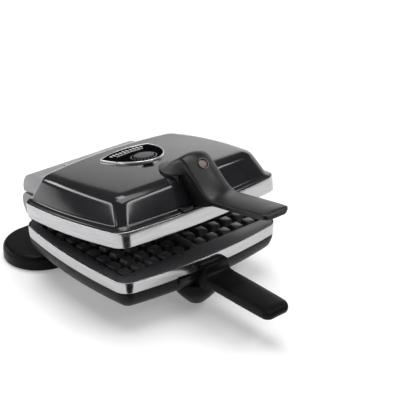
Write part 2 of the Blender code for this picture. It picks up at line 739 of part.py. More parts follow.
def make_handle_base(lid, finish):
    """Lower half of the upper handle: the grip's underside, the web and the nose's foot."""
    rows = cover_stations()
    front = -body_front
    grip = rows[:6]
    rings = []
    for y, z, under_y, under_z, wide, wide_low, arch in grip:
        half = wide_low - 0.0006
        floor = under_z - grip_base_depth
        rings.append([(-half, under_y, under_z - touch_gap), (-half, under_y, floor + 0.0020),
                      (-half + 0.0030, under_y, floor), (half - 0.0030, under_y, floor),
                      (half, under_y, floor + 0.0020), (half, under_y, under_z - touch_gap)])
    handle = lid.add("upper_handle_base", loft(rings), finish)
    slope = [(row[2], row[3]) for row in rows[5:10]]
    outline = [(y + 0.00022, z - 0.00024) for y, z in slope]
    outline[0] = (slope[0][0], slope[0][1] - touch_gap)
    outline += [(front + 0.0165, rows[10][3] - touch_gap), (front + 0.0450, rows[13][3] - touch_gap),
                (front + 0.0450, dome_peak - 0.010), (front + 0.0210, dome_peak - 0.012),
                (front + 0.0150, upper_band_top + 0.0060), (front + 0.0030, upper_band_top + 0.0042),
                (front - 0.0150, slope[0][1] - 0.0075), (slope[0][0], slope[0][1] - grip_base_depth + 0.0001)]
    web = lid.add("cut_web", side_prism(outline, -web_half_width, web_half_width))
    boolean(handle, web, "UNION")
    nose = rows[11:]
    plan = [(row[5] - 0.0006, row[2]) for row in nose]
    plan += [(-x, y) for x, y in reversed(plan)]
    foot = lid.add("cut_nose_foot", prism(plan, dome_peak - 0.010, rows[-1][3] - touch_gap))
    boolean(handle, foot, "UNION")
    boolean(handle, lid.tool)
    return handle


def make_lamp(lid, ring_finish, lens_finish, board_finish):
    point = (0.0, lamp_y, lamp_z)
    ring = tube(lamp_radius + 0.0002, lamp_radius + 0.0010, -0.0040, 0.0004, point)
    lid.add("lamp_bezel", tilt_about_x(ring, point, lamp_tilt), ring_finish)
    lens = turned([(lamp_radius - 0.0002, -0.0036), (lamp_radius - 0.0002, 0.0002),
                   (lamp_radius * 0.86, 0.0009), (lamp_radius * 0.55, 0.0015),
                   (lamp_radius * 0.20, 0.0018)], point)
    lid.add("lamp_lens", tilt_about_x(lens, point, lamp_tilt), lens_finish)
    holder = turned([(lamp_radius - 0.0012, -0.0072), (lamp_radius - 0.0012, -0.0040)], point, steps=16)
    lid.add("lamp_holder", tilt_about_x(holder, point, lamp_tilt), board_finish)


# ---- badge, dial and thermostat -----------------------------------------
def badge_outline(inset, steps=16, back_steps=6):
    """Shield with two points at the back and a round front, counter-clockwise from the right."""
    half = badge_half_width - inset
    length = badge_length - inset
    front = [(half * math.cos(math.pi * i / steps), badge_y - length * math.sin(math.pi * i / steps))
             for i in range(steps, -1, -1)]
    rise = badge_back_bow - inset
    back = [(half * (1 - 2 * i / back_steps), badge_y + rise * (1 - (1 - 2 * i / back_steps) ** 2) + 0.0035)
            for i in range(back_steps + 1)]
    return front + back


def badge_solid(inset_out, inset_in, low, high):
    """A ring of the badge's outline that follows the dome's top."""
    rings = []
    for inset, lift in ((inset_out, low), (inset_out, high), (inset_in, high), (inset_in, low)):
        rings.append([(x, y, dome_top(x, y) + lift) for x, y in badge_outline(inset)])
    return loft(rings, "loop")


def badge_disc(inset):
    """The badge's field: a thin plate that follows the dome's top."""
    edge = badge_outline(inset)
    middle_y = badge_y - 0.35 * badge_length
    rings = []
    for lift, shares in ((touch_gap, (0.10, 0.40, 0.70, 1.0)), (badge_height, (1.0, 0.70, 0.40, 0.10))):
        for share in shares:
            ring = [(x * share, middle_y + (y - middle_y) * share) for x, y in edge]
            rings.append([(x, y, dome_top(x, y) + lift) for x, y in ring])
    return loft(rings)


def sector_tool(body, name, radius_low, radius_high, low, high, half_sweep):
    steps = 12
    angles = [-math.pi / 2 - half_sweep + 2 * half_sweep * i / steps for i in range(steps + 1)]
    outline = [(radius_high * math.cos(a), dial_y + radius_high * math.sin(a)) for a in angles]
    outline += [(radius_low * math.cos(a), dial_y + radius_low * math.sin(a)) for a in reversed(angles)]
    return body.add(name, prism(outline, low, high))


def make_badge(lid, plate_finish, ring_finish):
    slot_sweep = lever_sweep + math.atan2(lever_tab_half, lever_reach - 0.0015) + lever_clearance
    slot_top = dome_peak + 0.0015
    ring = lid.add("badge_trim_ring", badge_solid(0.0, badge_ring_width, touch_gap, badge_height + 0.0009),
                   ring_finish)
    boolean(ring, sector_tool(lid, "cut_lever_slot_ring", dial_radius, 0.040, dome_peak - 0.004,
                              slot_top, slot_sweep))
    plate = lid.add("badge_plate", badge_disc(badge_ring_width + fit_gap), plate_finish)
    hole = turned([(dial_radius + fit_gap, -0.006), (dial_radius + fit_gap, 0.006)], dial_point, steps=32)
    boolean(plate, lid.add("cut_dial_hole", hole))
    boolean(plate, sector_tool(lid, "cut_lever_slot_plate", dial_radius - 0.002, 0.040,
                               dome_peak - 0.004, slot_top, slot_sweep))


def make_dial(dial, knob_finish, shaft_finish):
    disc = [(dial_radius - 0.0006, 0.0008), (dial_radius, 0.0012), (dial_radius, 0.0028),
            (dial_radius - 0.0008, 0.0036), (dial_radius - 0.0022, 0.0039), (0.004, 0.0040)]
    knob = dial.add("dial_knob", turned(disc, dial_point, steps=32), knob_finish)
    half = 0.0052
    arm = box((-half, dial_y - lever_reach, dome_peak + 0.0004), (half, dial_y - dial_radius + 0.003,
                                                                  dome_peak + 0.00115))
    end_y = dial_y - lever_reach
    narrow = lever_tab_half - 0.0018
    tab = prism([(-lever_tab_half, end_y + 0.0015), (-narrow, end_y - 0.0026), (narrow, end_y - 0.0026),
                 (lever_tab_half, end_y + 0.0015)], dome_peak + 0.0004, dome_peak + 0.0026)
    for label, part in (("arm", arm), ("tab", tab)):
        tool = dial.add("cut_lever_" + label, part)
        tool.rotation_euler.z = lever_angle
        boolean(knob, tool, "UNION")
    shaft = turned([(0.0028, -0.0150), (0.0032, -0.0145), (0.0032, 0.0004)], dial_point, steps=20)
    dial.add("dial_shaft", shaft, shaft_finish)


def make_thermostat(lid, finish):
    can = [(0.0135, -0.0288), (0.0145, -0.0278), (0.0145, -0.0185), (0.0100, -0.0178), (0.0100, -0.0155)]
    lid.add("thermostat_body", turned(can, dial_point, steps=24), finish)


# ---- hinge --------------------------------------------------------------
def make_hinge(base, lid, finishes):
    block_finish, steel, washer_finish = finishes
    y, z = hinge_y, hinge_z
    inner_y = half_depth + front_bow - 0.013
    half = hinge_block_half
    outline = [(inner_y, z + 0.0008), (y - 0.0005, z + 0.0008)]
    radius = 0.025
    centre = (y - radius, z + hinge_block_rise - radius)
    outline += [(centre[0] + radius * math.cos(math.pi / 2 * i / 6),
                 centre[1] + radius * math.sin(math.pi / 2 * i / 6)) for i in range(7)]
    outline += [(inner_y - 0.010, centre[1] + radius)]
    upper = lid.add("upper_hinge_block", side_prism(outline, -half, half), block_finish)
    boolean(upper, lid.tool)
    low = [(inner_y, z - 0.0010), (y - 0.0020, z - 0.0010), (y + 0.0010, z - 0.0038),
           (y + 0.0038, z - 0.0072), (y + 0.0045, z - 0.0125), (y + 0.0035, z - 0.0205),
           (y - 0.0025, z - 0.0305), (y - 0.0150, z - 0.0395), (y - 0.0350, z - 0.0455),
           (inner_y - 0.008, z - 0.0475)]
    lower = base.add("lower_hinge_block", side_prism(low, -half, half), block_finish)
    neck = base.add("cut_neck", box((-0.049, stand_y - 0.017, neck_z), (0.049, stand_y + 0.019, z - 0.030)))
    boolean(lower, neck, "UNION")
    boolean(lower, base.tool)
    cord_hole = turned([(0.0082, -0.020), (0.0082, 0.020)], (0.055, y, z - 0.0165), "y", 24)
    boolean(lower, base.add("cut_cord_hole", cord_hole))
    for sign in (-1, 1):
        for owner, other, body, label, low_x, high_x in (
                (upper, lower, lid, "lid", 0.0461, 0.0600), (lower, upper, base, "base", 0.0300, 0.0445)):
            other_body = base if body is lid else lid
            x_low, x_high = sorted((sign * low_x, sign * high_x))
            name = "%s_%s" % (label, "left" if sign < 0 else "right")
            room = turned([(knuckle_radius + 0.0008, x_low - 0.0016),
                           (knuckle_radius + 0.0008, x_high + 0.0016)],
                          (0.0, hinge_y, hinge_z), "x", 24)
            boolean(other, other_body.add("cut_room_" + name, room))
            root_z = z + 0.012 if body is lid else z - 0.012
            ear = turned([(knuckle_radius, x_low), (knuckle_radius, x_high)], (0.0, y, z), "x", 24)
            boolean(owner, body.add("cut_ear_" + name, ear), "UNION")
            root = side_prism([(y - 0.018, z + (0.0008 if body is lid else -0.0010)),
                               (y - 0.0010, z + (0.0008 if body is lid else -0.0010)),
                               (y - 0.0010, root_z), (y - 0.018, root_z)], x_low, x_high)
            boolean(owner, body.add("cut_root_" + name, root), "UNION")
            bore = turned([(pin_radius + pin_play, x_low - 0.002), (pin_radius + pin_play, x_high + 0.002)],
                          (0.0, y, z), "x", 24)
            boolean(owner, body.add("cut_bore_" + name, bore))
    pins = []
    washers = []
    for sign in (-1, 1):
        low_x, high_x = sorted((sign * 0.0292, sign * 0.0606))
        pins.append(turned([(pin_radius - 0.0004, low_x), (pin_radius, low_x + 0.0005),
                            (pin_radius, high_x - 0.0005), (pin_radius - 0.0004, high_x)],
                           (0.0, y, z), "x", 24))
        low_x, high_x = sorted((sign * 0.0448, sign * 0.0458))
        washers.append(tube(pin_radius + 0.0002, knuckle_radius - 0.0004, low_x, high_x, (0.0, y, z), "x", 20))
    add_each(base, "hinge_pin", pins, steel)
    add_each(base, "friction_washer", washers, washer_finish)


def make_cord_bush(base, finish):
    point = (0.055, hinge_y, hinge_z - 0.0165)
    profile_out = [(0.0079, -0.012), (0.0079, 0.0046), (0.0100, 0.0048), (0.0098, 0.0070), (0.0066, 0.0190)]
    profile_in = [(0.0036, 0.0190), (0.0036, -0.012)]
    rings = []
    for radius, along in profile_out + profile_in:
        rings.append([(point[0] + u, point[1] + along, point[2] + v) for u, v in circle(radius, 20)])
    base.add("cord_bush", loft(rings, "loop"), finish)


# ---- latches, screws and inner parts ------------------------------------
def make_latches(base, lid, upper_latch, lower_latch, finish, steel):
    front = -half_depth - front_bow
    tabs = ((upper_latch, lid, "upper", upper_latch_x, upper_band_top + 0.0010, upper_band_top + 0.0058),
            (lower_latch, base, "lower", lower_latch_x, lower_band_bottom - 0.0092, lower_band_bottom - 0.0020))
    for latch, body, label, x, z_low, z_high in tabs:
        half = latch_width / 2
        out = front + (0.0010 if label == "upper" else -0.0022)
        outline = [(x - half, front + 0.021), (x - half, out + 0.0015), (x - half + 0.0020, out),
                   (x + half - 0.0020, out), (x + half, out + 0.0015), (x + half, front + 0.021)]
        latch.add(label + "_plate_latch", prism(outline, z_low, z_high), finish)
        middle = (z_low + z_high) / 2
        start = front + 0.0213 + latch_travel
        turns, steps, wire = 5, 8, 0.0003
        points = [(x + 0.0018 * math.cos(2 * math.pi * i / steps), start + 0.010 * i / (turns * steps),
                   middle + 0.0018 * math.sin(2 * math.pi * i / steps)) for i in range(turns * steps + 1)]
        add_coil(body, label + "_latch_spring", points, wire, steel)


def add_coil(body, name, points, wire, finish):
    curve = bpy.data.curves.new(name, "CURVE")
    curve.dimensions = "3D"
    curve.bevel_depth = wire
    curve.bevel_resolution = 0
    curve.use_fill_caps = True
    spline = curve.splines.new("POLY")
    spline.points.add(len(points) - 1)
    for target, point in zip(spline.points, points):
        target.co = (*[a - b for a, b in zip(point, body.point)], 1.0)
    made = bpy.data.objects.new(name, curve)
    bpy.context.collection.objects.link(made)
    curve.materials.append(finish)
    made.parent = body.empty


def make_bottom_cover(base, finish):
    inset = cover_inset + fit_gap
    rings = [body_ring(inset, casing_bottom), body_ring(inset, casing_bottom + 0.0020)]
    base.add("bottom_cover", loft(rings), finish)


def make_inner_parts(base, lid, ceramic, white, steel):
    cover_back = half_depth - cover_inset
    floor = casing_bottom + shell_wall + 0.0004
    block = box((0.040, cover_back - 0.002, floor), (0.070, cover_back + 0.010, floor + 0.0101))
    base.add("terminal_block", block, white)
    fuse = turned([(0.0016, -0.016), (0.0030, -0.012), (0.0030, 0.012), (0.0016, 0.016)],
                  (0.0, 0.012, plate_under - 0.0038), "x", 12)
    base.add("thermal_fuse", fuse, ceramic)
    bridge_z = casing_bottom + 0.005
    bridge = box((-0.030, -0.045, bridge_z), (0.030, -0.038, bridge_z + 0.0015))
    base.add("sensor_bracket", bridge, steel)
    strap = box((-0.0300, dial_y - 0.020, dome_peak - 0.0302), (0.0300, dial_y + 0.020, dome_peak - 0.0292))
    lid.add("thermostat_bracket", strap, steel)


def make_screws(base, lid, finish):
    cover_x = half_width - cover_inset - 0.008
    cover_y = half_depth - cover_inset - 0.015
    under = [screw_head((x, y, casing_bottom - touch_gap), -1, 0.0032)
             for x in (-cover_x, cover_x) for y in (-cover_y, cover_y)]
    add_each(base, "bottom_cover_screw", under, finish)
    shoe_z = pad_height + shoe_lift - touch_gap
    foot = [screw_head((x, stand_y - 0.056, shoe_z), -1, 0.0034) for x in (-0.038, 0.038)]
    add_each(base, "stand_screw", foot, finish)
    root = [screw_head((x, -body_front - 0.0065, lower_grip_low - touch_gap), -1) for x in (-0.011, 0.011)]
    add_each(base, "lower_handle_screw", root, finish)
    grip_z = cover_stations()[3][3] - grip_base_depth - touch_gap
    grip = [screw_head((0.0, -body_front - ahead, grip_z), -1) for ahead in (0.103, 0.047)]
    add_each(lid, "upper_handle_screw", grip, finish)
    top = hinge_z + hinge_block_rise + touch_gap
    hinge = [screw_head((x, hinge_y - 0.033, top), 1) for x in (-0.035, 0.035)]
    add_each(lid, "hinge_block_screw", hinge, finish)


# ---- the whole machine --------------------------------------------------
def build():
    clear_scene()
    black_gloss = material("gloss_black_abs", (0.016, 0.016, 0.018), 0.18)
    black_matte = material("matte_black_phenolic", (0.020, 0.020, 0.021), 0.45)
    brushed = material("brushed_steel", (0.60, 0.59, 0.58), 0.32, 1.0)
    nonstick = material("nonstick_coating", (0.038, 0.038, 0.041), 0.50)
    grey = material("grey_abs", (0.42, 0.41, 0.42), 0.45)
    steel = material("zinc_plated_steel", (0.55, 0.55, 0.54), 0.35, 1.0)
    chrome = material("chrome_trim", (0.80, 0.80, 0.82), 0.10, 1.0)
    amber = material("lamp_lens", (0.26, 0.16, 0.15), 0.25)
    rubber = material("rubber", (0.030, 0.030, 0.030), 0.80)
    ceramic = material("white_ceramic", (0.75, 0.73, 0.70), 0.50)
    tinned = material("bright_steel_sheet", (0.70, 0.70, 0.70), 0.25, 1.0)
    knob_grey = material("knob_grey", (0.10, 0.10, 0.11), 0.35)

    base = Body("base", base_point)
    base.empty.location = (0.0, centre_shift, 0.0)
    lid = Body("lid", hinge_point, base)
    lid.empty.rotation_euler.x = -lid_angle
    dial = Body("dial", dial_point, lid)
    upper_latch = Body("upper_latch", (upper_latch_x, -half_depth, upper_band_top + 0.003), lid)
    lower_latch = Body("lower_latch", (lower_latch_x, -half_depth, lower_band_bottom - 0.005), base)
    base.tool = body_tool(base, "cut_body", 0.0004)
    lid.tool = lid_tool(lid, "cut_lid", 0.0004)

    make_lower_casing(base, black_gloss)
    make_bottom_cover(base, black_matte)
    make_band(base, "lower_steel_band", lower_band_bottom, lower_band_top, brushed)
    make_plate(base, "lower_waffle_plate", 1, nonstick)
    make_element(base, "lower_heating_element", plate_under - touch_gap - element_radius, tinned)
    make_tray(base, "lower_reflector_tray", plate_under - 0.0145, 1, tinned)
    make_rear_stand(base, black_matte)
    make_pads(base, rubber)
    make_front_foot(base, black_matte)
    make_lower_handle(base, black_matte)

    make_lid_casing(lid, black_gloss)
    make_band(lid, "upper_steel_band", upper_band_bottom, upper_band_top, brushed)
    make_plate(lid, "upper_waffle_plate", -1, nonstick)
    upper_under = 2 * mid_plane - plate_under
    make_element(lid, "upper_heating_element", upper_under + touch_gap + element_radius, tinned)
    make_tray(lid, "upper_reflector_tray", upper_under + 0.0145, -1, tinned)
    make_handle_cover(lid, black_matte)
    make_handle_base(lid, black_matte)
    make_lamp(lid, black_gloss, amber, ceramic)
    make_badge(lid, black_gloss, chrome)
    make_dial(dial, knob_grey, steel)
    make_thermostat(lid, steel)

    make_hinge(base, lid, (grey, steel, tinned))
    make_cord_bush(base, rubber)
    make_latches(base, lid, upper_latch, lower_latch, black_matte, steel)
    make_inner_parts(base, lid, ceramic, ceramic, steel)
    make_screws(base, lid, steel)


build()
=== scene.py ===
import json
import math

import bmesh
import bpy
from mathutils import Matrix, Vector


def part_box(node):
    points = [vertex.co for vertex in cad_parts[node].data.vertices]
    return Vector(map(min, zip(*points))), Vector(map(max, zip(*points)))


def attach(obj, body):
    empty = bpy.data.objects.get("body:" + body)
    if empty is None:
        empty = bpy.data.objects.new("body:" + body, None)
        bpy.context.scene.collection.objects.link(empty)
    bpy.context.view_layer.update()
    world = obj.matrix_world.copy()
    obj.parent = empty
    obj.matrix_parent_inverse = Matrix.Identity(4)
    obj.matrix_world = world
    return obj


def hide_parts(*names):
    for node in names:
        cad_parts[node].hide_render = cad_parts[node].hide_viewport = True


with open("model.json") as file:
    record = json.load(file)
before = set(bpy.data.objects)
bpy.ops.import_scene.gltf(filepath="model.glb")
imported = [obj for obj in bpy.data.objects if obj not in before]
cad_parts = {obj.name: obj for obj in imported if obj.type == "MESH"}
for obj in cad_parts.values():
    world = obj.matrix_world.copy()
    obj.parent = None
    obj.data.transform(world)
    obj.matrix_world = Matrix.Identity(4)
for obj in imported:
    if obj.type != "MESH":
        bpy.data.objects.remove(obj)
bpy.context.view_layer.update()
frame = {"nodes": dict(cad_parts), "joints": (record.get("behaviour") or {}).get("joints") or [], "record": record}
print("frame loaded with", len(frame["nodes"]), "CAD nodes")

mm = 0.001

# where things are
# Every piece is drawn in body coordinates: X = 0 and Y = 0 in the middle of the
# cooking plates, the floor at z = 0 and the lid closed. toRow takes each body's
# pieces to the frame, and leans the lid open about its hinge.
bandLow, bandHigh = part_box("lower_steel_band")
middleY = (bandLow.y + bandHigh.y) / 2
joints = {joint["name"]: joint for joint in frame["joints"]}
hinge = Vector(joints["lid_hinge"]["pos_m"]) - Vector((0.0, middleY, 0.0))
lidLean = math.radians(joints["lid_hinge"]["range_deg"][0])
slide = Matrix.Translation((0.0, middleY, 0.0))
lean = Matrix.Translation(hinge) @ Matrix.Rotation(lidLean, 4, "X") @ Matrix.Translation(-hinge)
toRow = {"base": slide, "lower_latch": slide}
toRow.update({body: slide @ lean for body in ("lid", "dial", "upper_latch")})

body = {
    "halfWidth": 124 * mm, "halfDepth": 104 * mm, "sideBow": 8 * mm, "frontBow": 11 * mm,
    "cornerRadius": 20 * mm,
    "floor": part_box("lower_casing")[0].z,
    "bandBottom": bandLow.z, "bandTop": bandHigh.z,
    "bandGap": 1.5 * mm, "upperBandHeight": 19.2 * mm,
}
body["upperBottom"] = body["bandTop"] + body["bandGap"]
body["upperTop"] = body["upperBottom"] + body["upperBandHeight"]
body["closing"] = body["bandTop"] + body["bandGap"] / 2
body["front"] = -body["halfDepth"] - body["frontBow"]


# nodes and finishes
def srgb(text):
    values = [int(text[i:i + 2], 16) / 255 for i in (1, 3, 5)]
    return tuple(v / 12.92 if v <= 0.04045 else ((v + 0.055) / 1.055) ** 2.4 for v in values) + (1.0,)


def addNode(tree, kind, inputs=None, **settings):
    node = tree.nodes.new(kind)
    for name, value in settings.items():
        setattr(node, name, value)
    for key, value in (inputs or {}).items():
        if isinstance(value, bpy.types.NodeSocket):
            tree.links.new(value, node.inputs[key])
        else:
            node.inputs[key].default_value = value
    return node


def makeFinish(name, colours, cloud, roughness=None, haze=None, grain=None, relief=(0.2, 0.03),
               spread=(0.35, 0.65), uvMap=None, **constants):
    # Each pattern is (size in mm, octaves, crispness, stretch): the cloud drifts between the
    # two colours, the haze between the two roughnesses, and the grain is a relief of
    # (strength, depth in mm). The patterns lie on Object coordinates or on a UV map.
    made = bpy.data.materials.new(name)
    made.use_nodes = True
    tree = made.node_tree
    shader = tree.nodes["Principled BSDF"]
    for key, value in constants.items():
        shader.inputs[key.replace("_", " ")].default_value = value
    if uvMap:
        place = addNode(tree, "ShaderNodeUVMap", uv_map=uvMap).outputs[0]
    else:
        place = addNode(tree, "ShaderNodeTexCoord").outputs["Object"]

    def pattern(sizeMm, octaves, crispness=0.5, stretch=1.0):
        point = addNode(tree, "ShaderNodeMapping", {"Vector": place, "Scale": (stretch, 1.0, 1.0)}).outputs[0]
        return addNode(tree, "ShaderNodeTexNoise", {
            "Vector": point, "Scale": 1 / (sizeMm * mm), "Detail": octaves,
            "Roughness": crispness}).outputs[0]

    ramp = addNode(tree, "ShaderNodeValToRGB", {"Fac": pattern(*cloud)})
    for stop, position, colour in zip(ramp.color_ramp.elements, spread, colours):
        stop.position = position
        stop.color = srgb(colour)
    tree.links.new(ramp.outputs[0], shader.inputs["Base Color"])
    if roughness:
        rubbed = addNode(tree, "ShaderNodeMapRange", {
            "Value": pattern(*(haze or cloud)), "From Min": 0.3, "From Max": 0.7,
            "To Min": roughness[0], "To Max": roughness[1]})
        tree.links.new(rubbed.outputs[0], shader.inputs["Roughness"])
    if grain:
        bump = addNode(tree, "ShaderNodeBump", {
            "Height": pattern(*grain), "Strength": relief[0], "Distance": relief[1] * mm})
        tree.links.new(bump.outputs[0], shader.inputs["Normal"])
    return made


finishes = {
    # ABS from a polished mould: deep black, with a faint orange-peel ripple that
    # bends long reflections and a thin haze of handling marks in its gloss
    "gloss_black_abs": makeFinish(
        "glossBlackAbs", ("#19181b", "#201f22"), (60, 2), (0.11, 0.16), (34, 4), (7, 1), (0.10, 0.05),
        IOR=1.54),
    # phenolic from a lightly etched mould: near-black, satin, with a fine pebble
    # drawn at about 1 mm so that it shows, and paler where hands polish it
    "matte_black_phenolic": makeFinish(
        "satinPhenolic", ("#0f0e10", "#151416"), (26, 3), (0.30, 0.40), None, (0.9, 2), (0.16, 0.06),
        IOR=1.5, Specular_IOR_Level=0.32),
    # stainless strip, brushed along its length: hair-fine lines run round the
    # band and break up what it mirrors into soft streaks
    "brushed_steel": makeFinish(
        "brushedSteel", ("#a1a0a1", "#c2c1c2"), (0.9, 4, 0.7, 0.018), (0.15, 0.23), (5, 2, 0.5, 0.12),
        (0.9, 4, 0.7, 0.018), (0.10, 0.03), (0.3, 0.7), "strip", Metallic=1.0, Anisotropic=0.45),
    # sprayed and cured non-stick on a die casting: dark grey with paler specks,
    # a soft sheen and a slightly sandy skin
    "nonstick_coating": makeFinish(
        "nonstickCoating", ("#3f3e41", "#5c5b5e"), (1.1, 3, 0.7), (0.27, 0.36), (18, 3), (1.4, 3),
        (0.20, 0.08), (0.42, 0.72), IOR=1.5),
    # light grey ABS with a fine spark-eroded grain: even and matte
    "grey_abs": makeFinish(
        "greyAbs", ("#8c888c", "#969296"), (22, 3), (0.40, 0.52), (15, 2), (0.8, 2), (0.14, 0.05), IOR=1.54),
    # zinc plate, barrel-plated: cloudy grey patches a few millimetres wide
    "zinc_plated_steel": makeFinish(
        "zincPlatedSteel", ("#9fa3a6", "#c3c6c8"), (4, 3), (0.24, 0.38), None, (1.2, 2), (0.06, 0.04),
        Metallic=1.0),
    # chrome plate on a moulded ring: pale and even, softened by fine handling
    "chrome_trim": makeFinish(
        "chromePlate", ("#cfcfd2", "#e2e2e4"), (18, 3), (0.26, 0.34), None, (5.4, 2), (0.06, 0.04),
        Metallic=1.0),
    # aluminised sheet, as rolled: bright with broad dull clouds
    "bright_steel_sheet": makeFinish(
        "aluminisedSheet", ("#b4b5b6", "#cbcccd"), (9, 3), (0.22, 0.34), None, (2.7, 2), (0.06, 0.04),
        Metallic=1.0),
    # element sheath darkened by heat: brown-grey patches, dull
    "element_steel": makeFinish(
        "heatDarkenedSheath", ("#4a4440", "#6b625a"), (7, 3), (0.40, 0.58), None, (2.1, 2), (0.06, 0.04),
        Metallic=1.0),
    # tinted acrylic, moulded: a dusky rose that stays dull while the lamp is off
    "lamp_lens": makeFinish(
        "tintedAcrylicLens", ("#74605d", "#806c69"), (14.4, 3), (0.30, 0.38), None, (1.2, 2), (0.2, 0.02),
        IOR=1.49, Transmission_Weight=0.15),
    # moulded rubber: charcoal, without shine
    "rubber": makeFinish(
        "mouldedRubber", ("#1a1919", "#232222"), (8.4, 3), (0.70, 0.85), None, (0.7, 2), (0.2, 0.05),
        IOR=1.52),
    # glazed steatite: ivory white with a soft gloss
    "white_ceramic": makeFinish(
        "glazedSteatite", ("#d9d4c8", "#e8e4da"), (10.8, 3), (0.25, 0.40), None, (0.9, 2), IOR=1.6),
    # dark grey ABS of the dial: a little paler than the black round it
    "knob_grey": makeFinish(
        "greyKnobAbs", ("#29292b", "#323235"), (9.6, 3), (0.28, 0.36), None, (0.8, 2), (0.2, 0.04),
        IOR=1.45, Specular_IOR_Level=0.3),
}
moreFinishes = {
    # pale grey printing ink, a little raised
    "ink": makeFinish(
        "paleGreyInk", ("#c2c0c3", "#d6d4d7"), (7.2, 3), (0.40, 0.50), None, (0.6, 2), (0.2, 0.02), IOR=1.5),
    # the lid's black ABS made darker and nearly without shine, for the lower casing underneath: painted shade for
    # the shade that falls under the band
    "casing": makeFinish(
        "shadedBlackAbs", ("#111012", "#171618"), (12, 3), (0.30, 0.42), None, (1.0, 2), IOR=1.5,
        Specular_IOR_Level=0.1),
    # the same phenolic as the upper grip, its shine turned down to a dull black: painted shade for the pieces low
    # down under the body
    "shadedCopy": makeFinish(
        "shadedPhenolic", ("#0f0e10", "#151416"), (26, 3), (0.30, 0.40), None, (0.9, 2), (0.16, 0.06),
        IOR=1.5, Specular_IOR_Level=0.08),
    # baked enamel in the badge: flat black that mirrors nothing
    "enamel": makeFinish(
        "blackEnamel", ("#070708", "#0b0b0c"), (18, 3), (0.50, 0.60), None, (1.5, 2), (0.2, 0.02),
        IOR=1.3, Specular_IOR_Level=0.0),
}
print("finishes made:", len(finishes) + len(moreFinishes))


# meshes
def scratchObject(name, meshData):
    # an object that holds this mesh, in body coordinates until it is finished
    data = bpy.data.meshes.new(name)
    meshData.to_mesh(data)
    meshData.free()
    made = bpy.data.objects.new(name, data)
    bpy.context.scene.collection.objects.link(made)
    return made


def finishObject(made, bodyName, slotName, nodes=(), smooth=32.0, finish=None):
    # takes a piece to its place in the frame, gives it its material and says whose it is
    data = made.data
    data.transform(toRow[bodyName])
    data.materials.clear()
    data.materials.append(finish or finishes[slotName])
    data.shade_smooth()
    data.set_sharp_from_angle(angle=math.radians(smooth))
    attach(made, bodyName)
    if nodes:
        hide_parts(*nodes)


def bakeModifiers(item, helpers=()):
    graph = bpy.context.evaluated_depsgraph_get()
    mesh = bpy.data.meshes.new_from_object(item.evaluated_get(graph))
    item.modifiers.clear()
    item.data = mesh
    for helper in helpers:
        bpy.data.objects.remove(helper)
    return item


def cutWith(item, tools, operation="DIFFERENCE"):
    for tool in tools:
        modifier = item.modifiers.new("cut", "BOOLEAN")
        modifier.operation = operation
        modifier.object = tool
    return bakeModifiers(item, tools)


def softenEdges(item, width, segments=2, angle=35.0):
    modifier = item.modifiers.new("soft edges", "BEVEL")
    modifier.width = width
    modifier.segments = segments
    modifier.limit_method = "ANGLE"
    modifier.angle_limit = math.radians(angle)
    return bakeModifiers(item)


def loft(rings, ends="cap"):
    # skins rings of equal length; ends are capped, or the last ring meets the first
    meshData = bmesh.new()
    rows = [[meshData.verts.new(p) for p in ring] for ring in rings]
    count = len(rows[0])
    pairs = list(zip(rows, rows[1:]))
    if ends == "loop":
        pairs.append((rows[-1], rows[0]))
    for low, high in pairs:
        for i in range(count):
            j = (i + 1) % count
            meshData.faces.new((low[i], low[j], high[j], high[i]))
    if ends == "cap":
        meshData.faces.new(rows[0])
        meshData.faces.new(rows[-1])
    bmesh.ops.recalc_face_normals(meshData, faces=meshData.faces)
    return meshData


def prism(outline, low, high):
    return loft([[(x, y, z) for x, y in outline] for z in (low, high)])


def block(name, acrossX, alongY, upZ):
    # a plain box between three pairs of low and high
    (lowX, highX), (lowY, highY) = acrossX, alongY
    return scratchObject(name, prism([(lowX, lowY), (highX, lowY), (highX, highY), (lowX, highY)], *upZ))


def turned(profile, point=(0.0, 0.0, 0.0), steps=64):
    # solid of revolution about an upright axis: profile is (radius, height over the point)
    rings = []
    for radius, rise in profile:
        angles = [2 * math.pi * i / steps for i in range(steps)]
        rings.append([(point[0] + radius * math.cos(a), point[1] + radius * math.sin(a), point[2] + rise)
                      for a in angles])
    return rings


def arc(centre, radius, start, end, steps):
    angles = [math.radians(start + (end - start) * i / steps) for i in range(steps + 1)]
    return [(centre[0] + radius * math.cos(a), centre[1] + radius * math.sin(a)) for a in angles]


def throughPoints(keys, perSpan):
    # a smooth curve through rows of numbers, with perSpan steps between two rows
    rows = []
    for i in range(len(keys) - 1):
        before, start, end, after = (keys[max(i - 1, 0)], keys[i], keys[i + 1],
                                     keys[min(i + 2, len(keys) - 1)])
        for step in range(perSpan):
            t = step / perSpan
            rows.append(tuple(
                0.5 * (2 * b + (c - a) * t + (2 * a - 5 * b + 4 * c - d) * t ** 2
                       + (3 * b - a - 3 * c + d) * t ** 3)
                for a, b, c, d in zip(before, start, end, after)))
    rows.append(tuple(keys[-1]))
    return rows


def circleMeeting(centreA, radiusA, centreB, radiusB):
    # where two circles cross, the crossing furthest to the right and back
    dx, dy = centreB[0] - centreA[0], centreB[1] - centreA[1]
    distance = math.hypot(dx, dy)
    along = (radiusA ** 2 - radiusB ** 2 + distance ** 2) / (2 * distance)
    aside = math.sqrt(max(radiusA ** 2 - along ** 2, 0.0))
    foot = (centreA[0] + along * dx / distance, centreA[1] + along * dy / distance)
    choices = [(foot[0] + s * aside * dy / distance, foot[1] - s * aside * dx / distance) for s in (1, -1)]
    return max(choices, key=lambda p: p[0] + p[1])


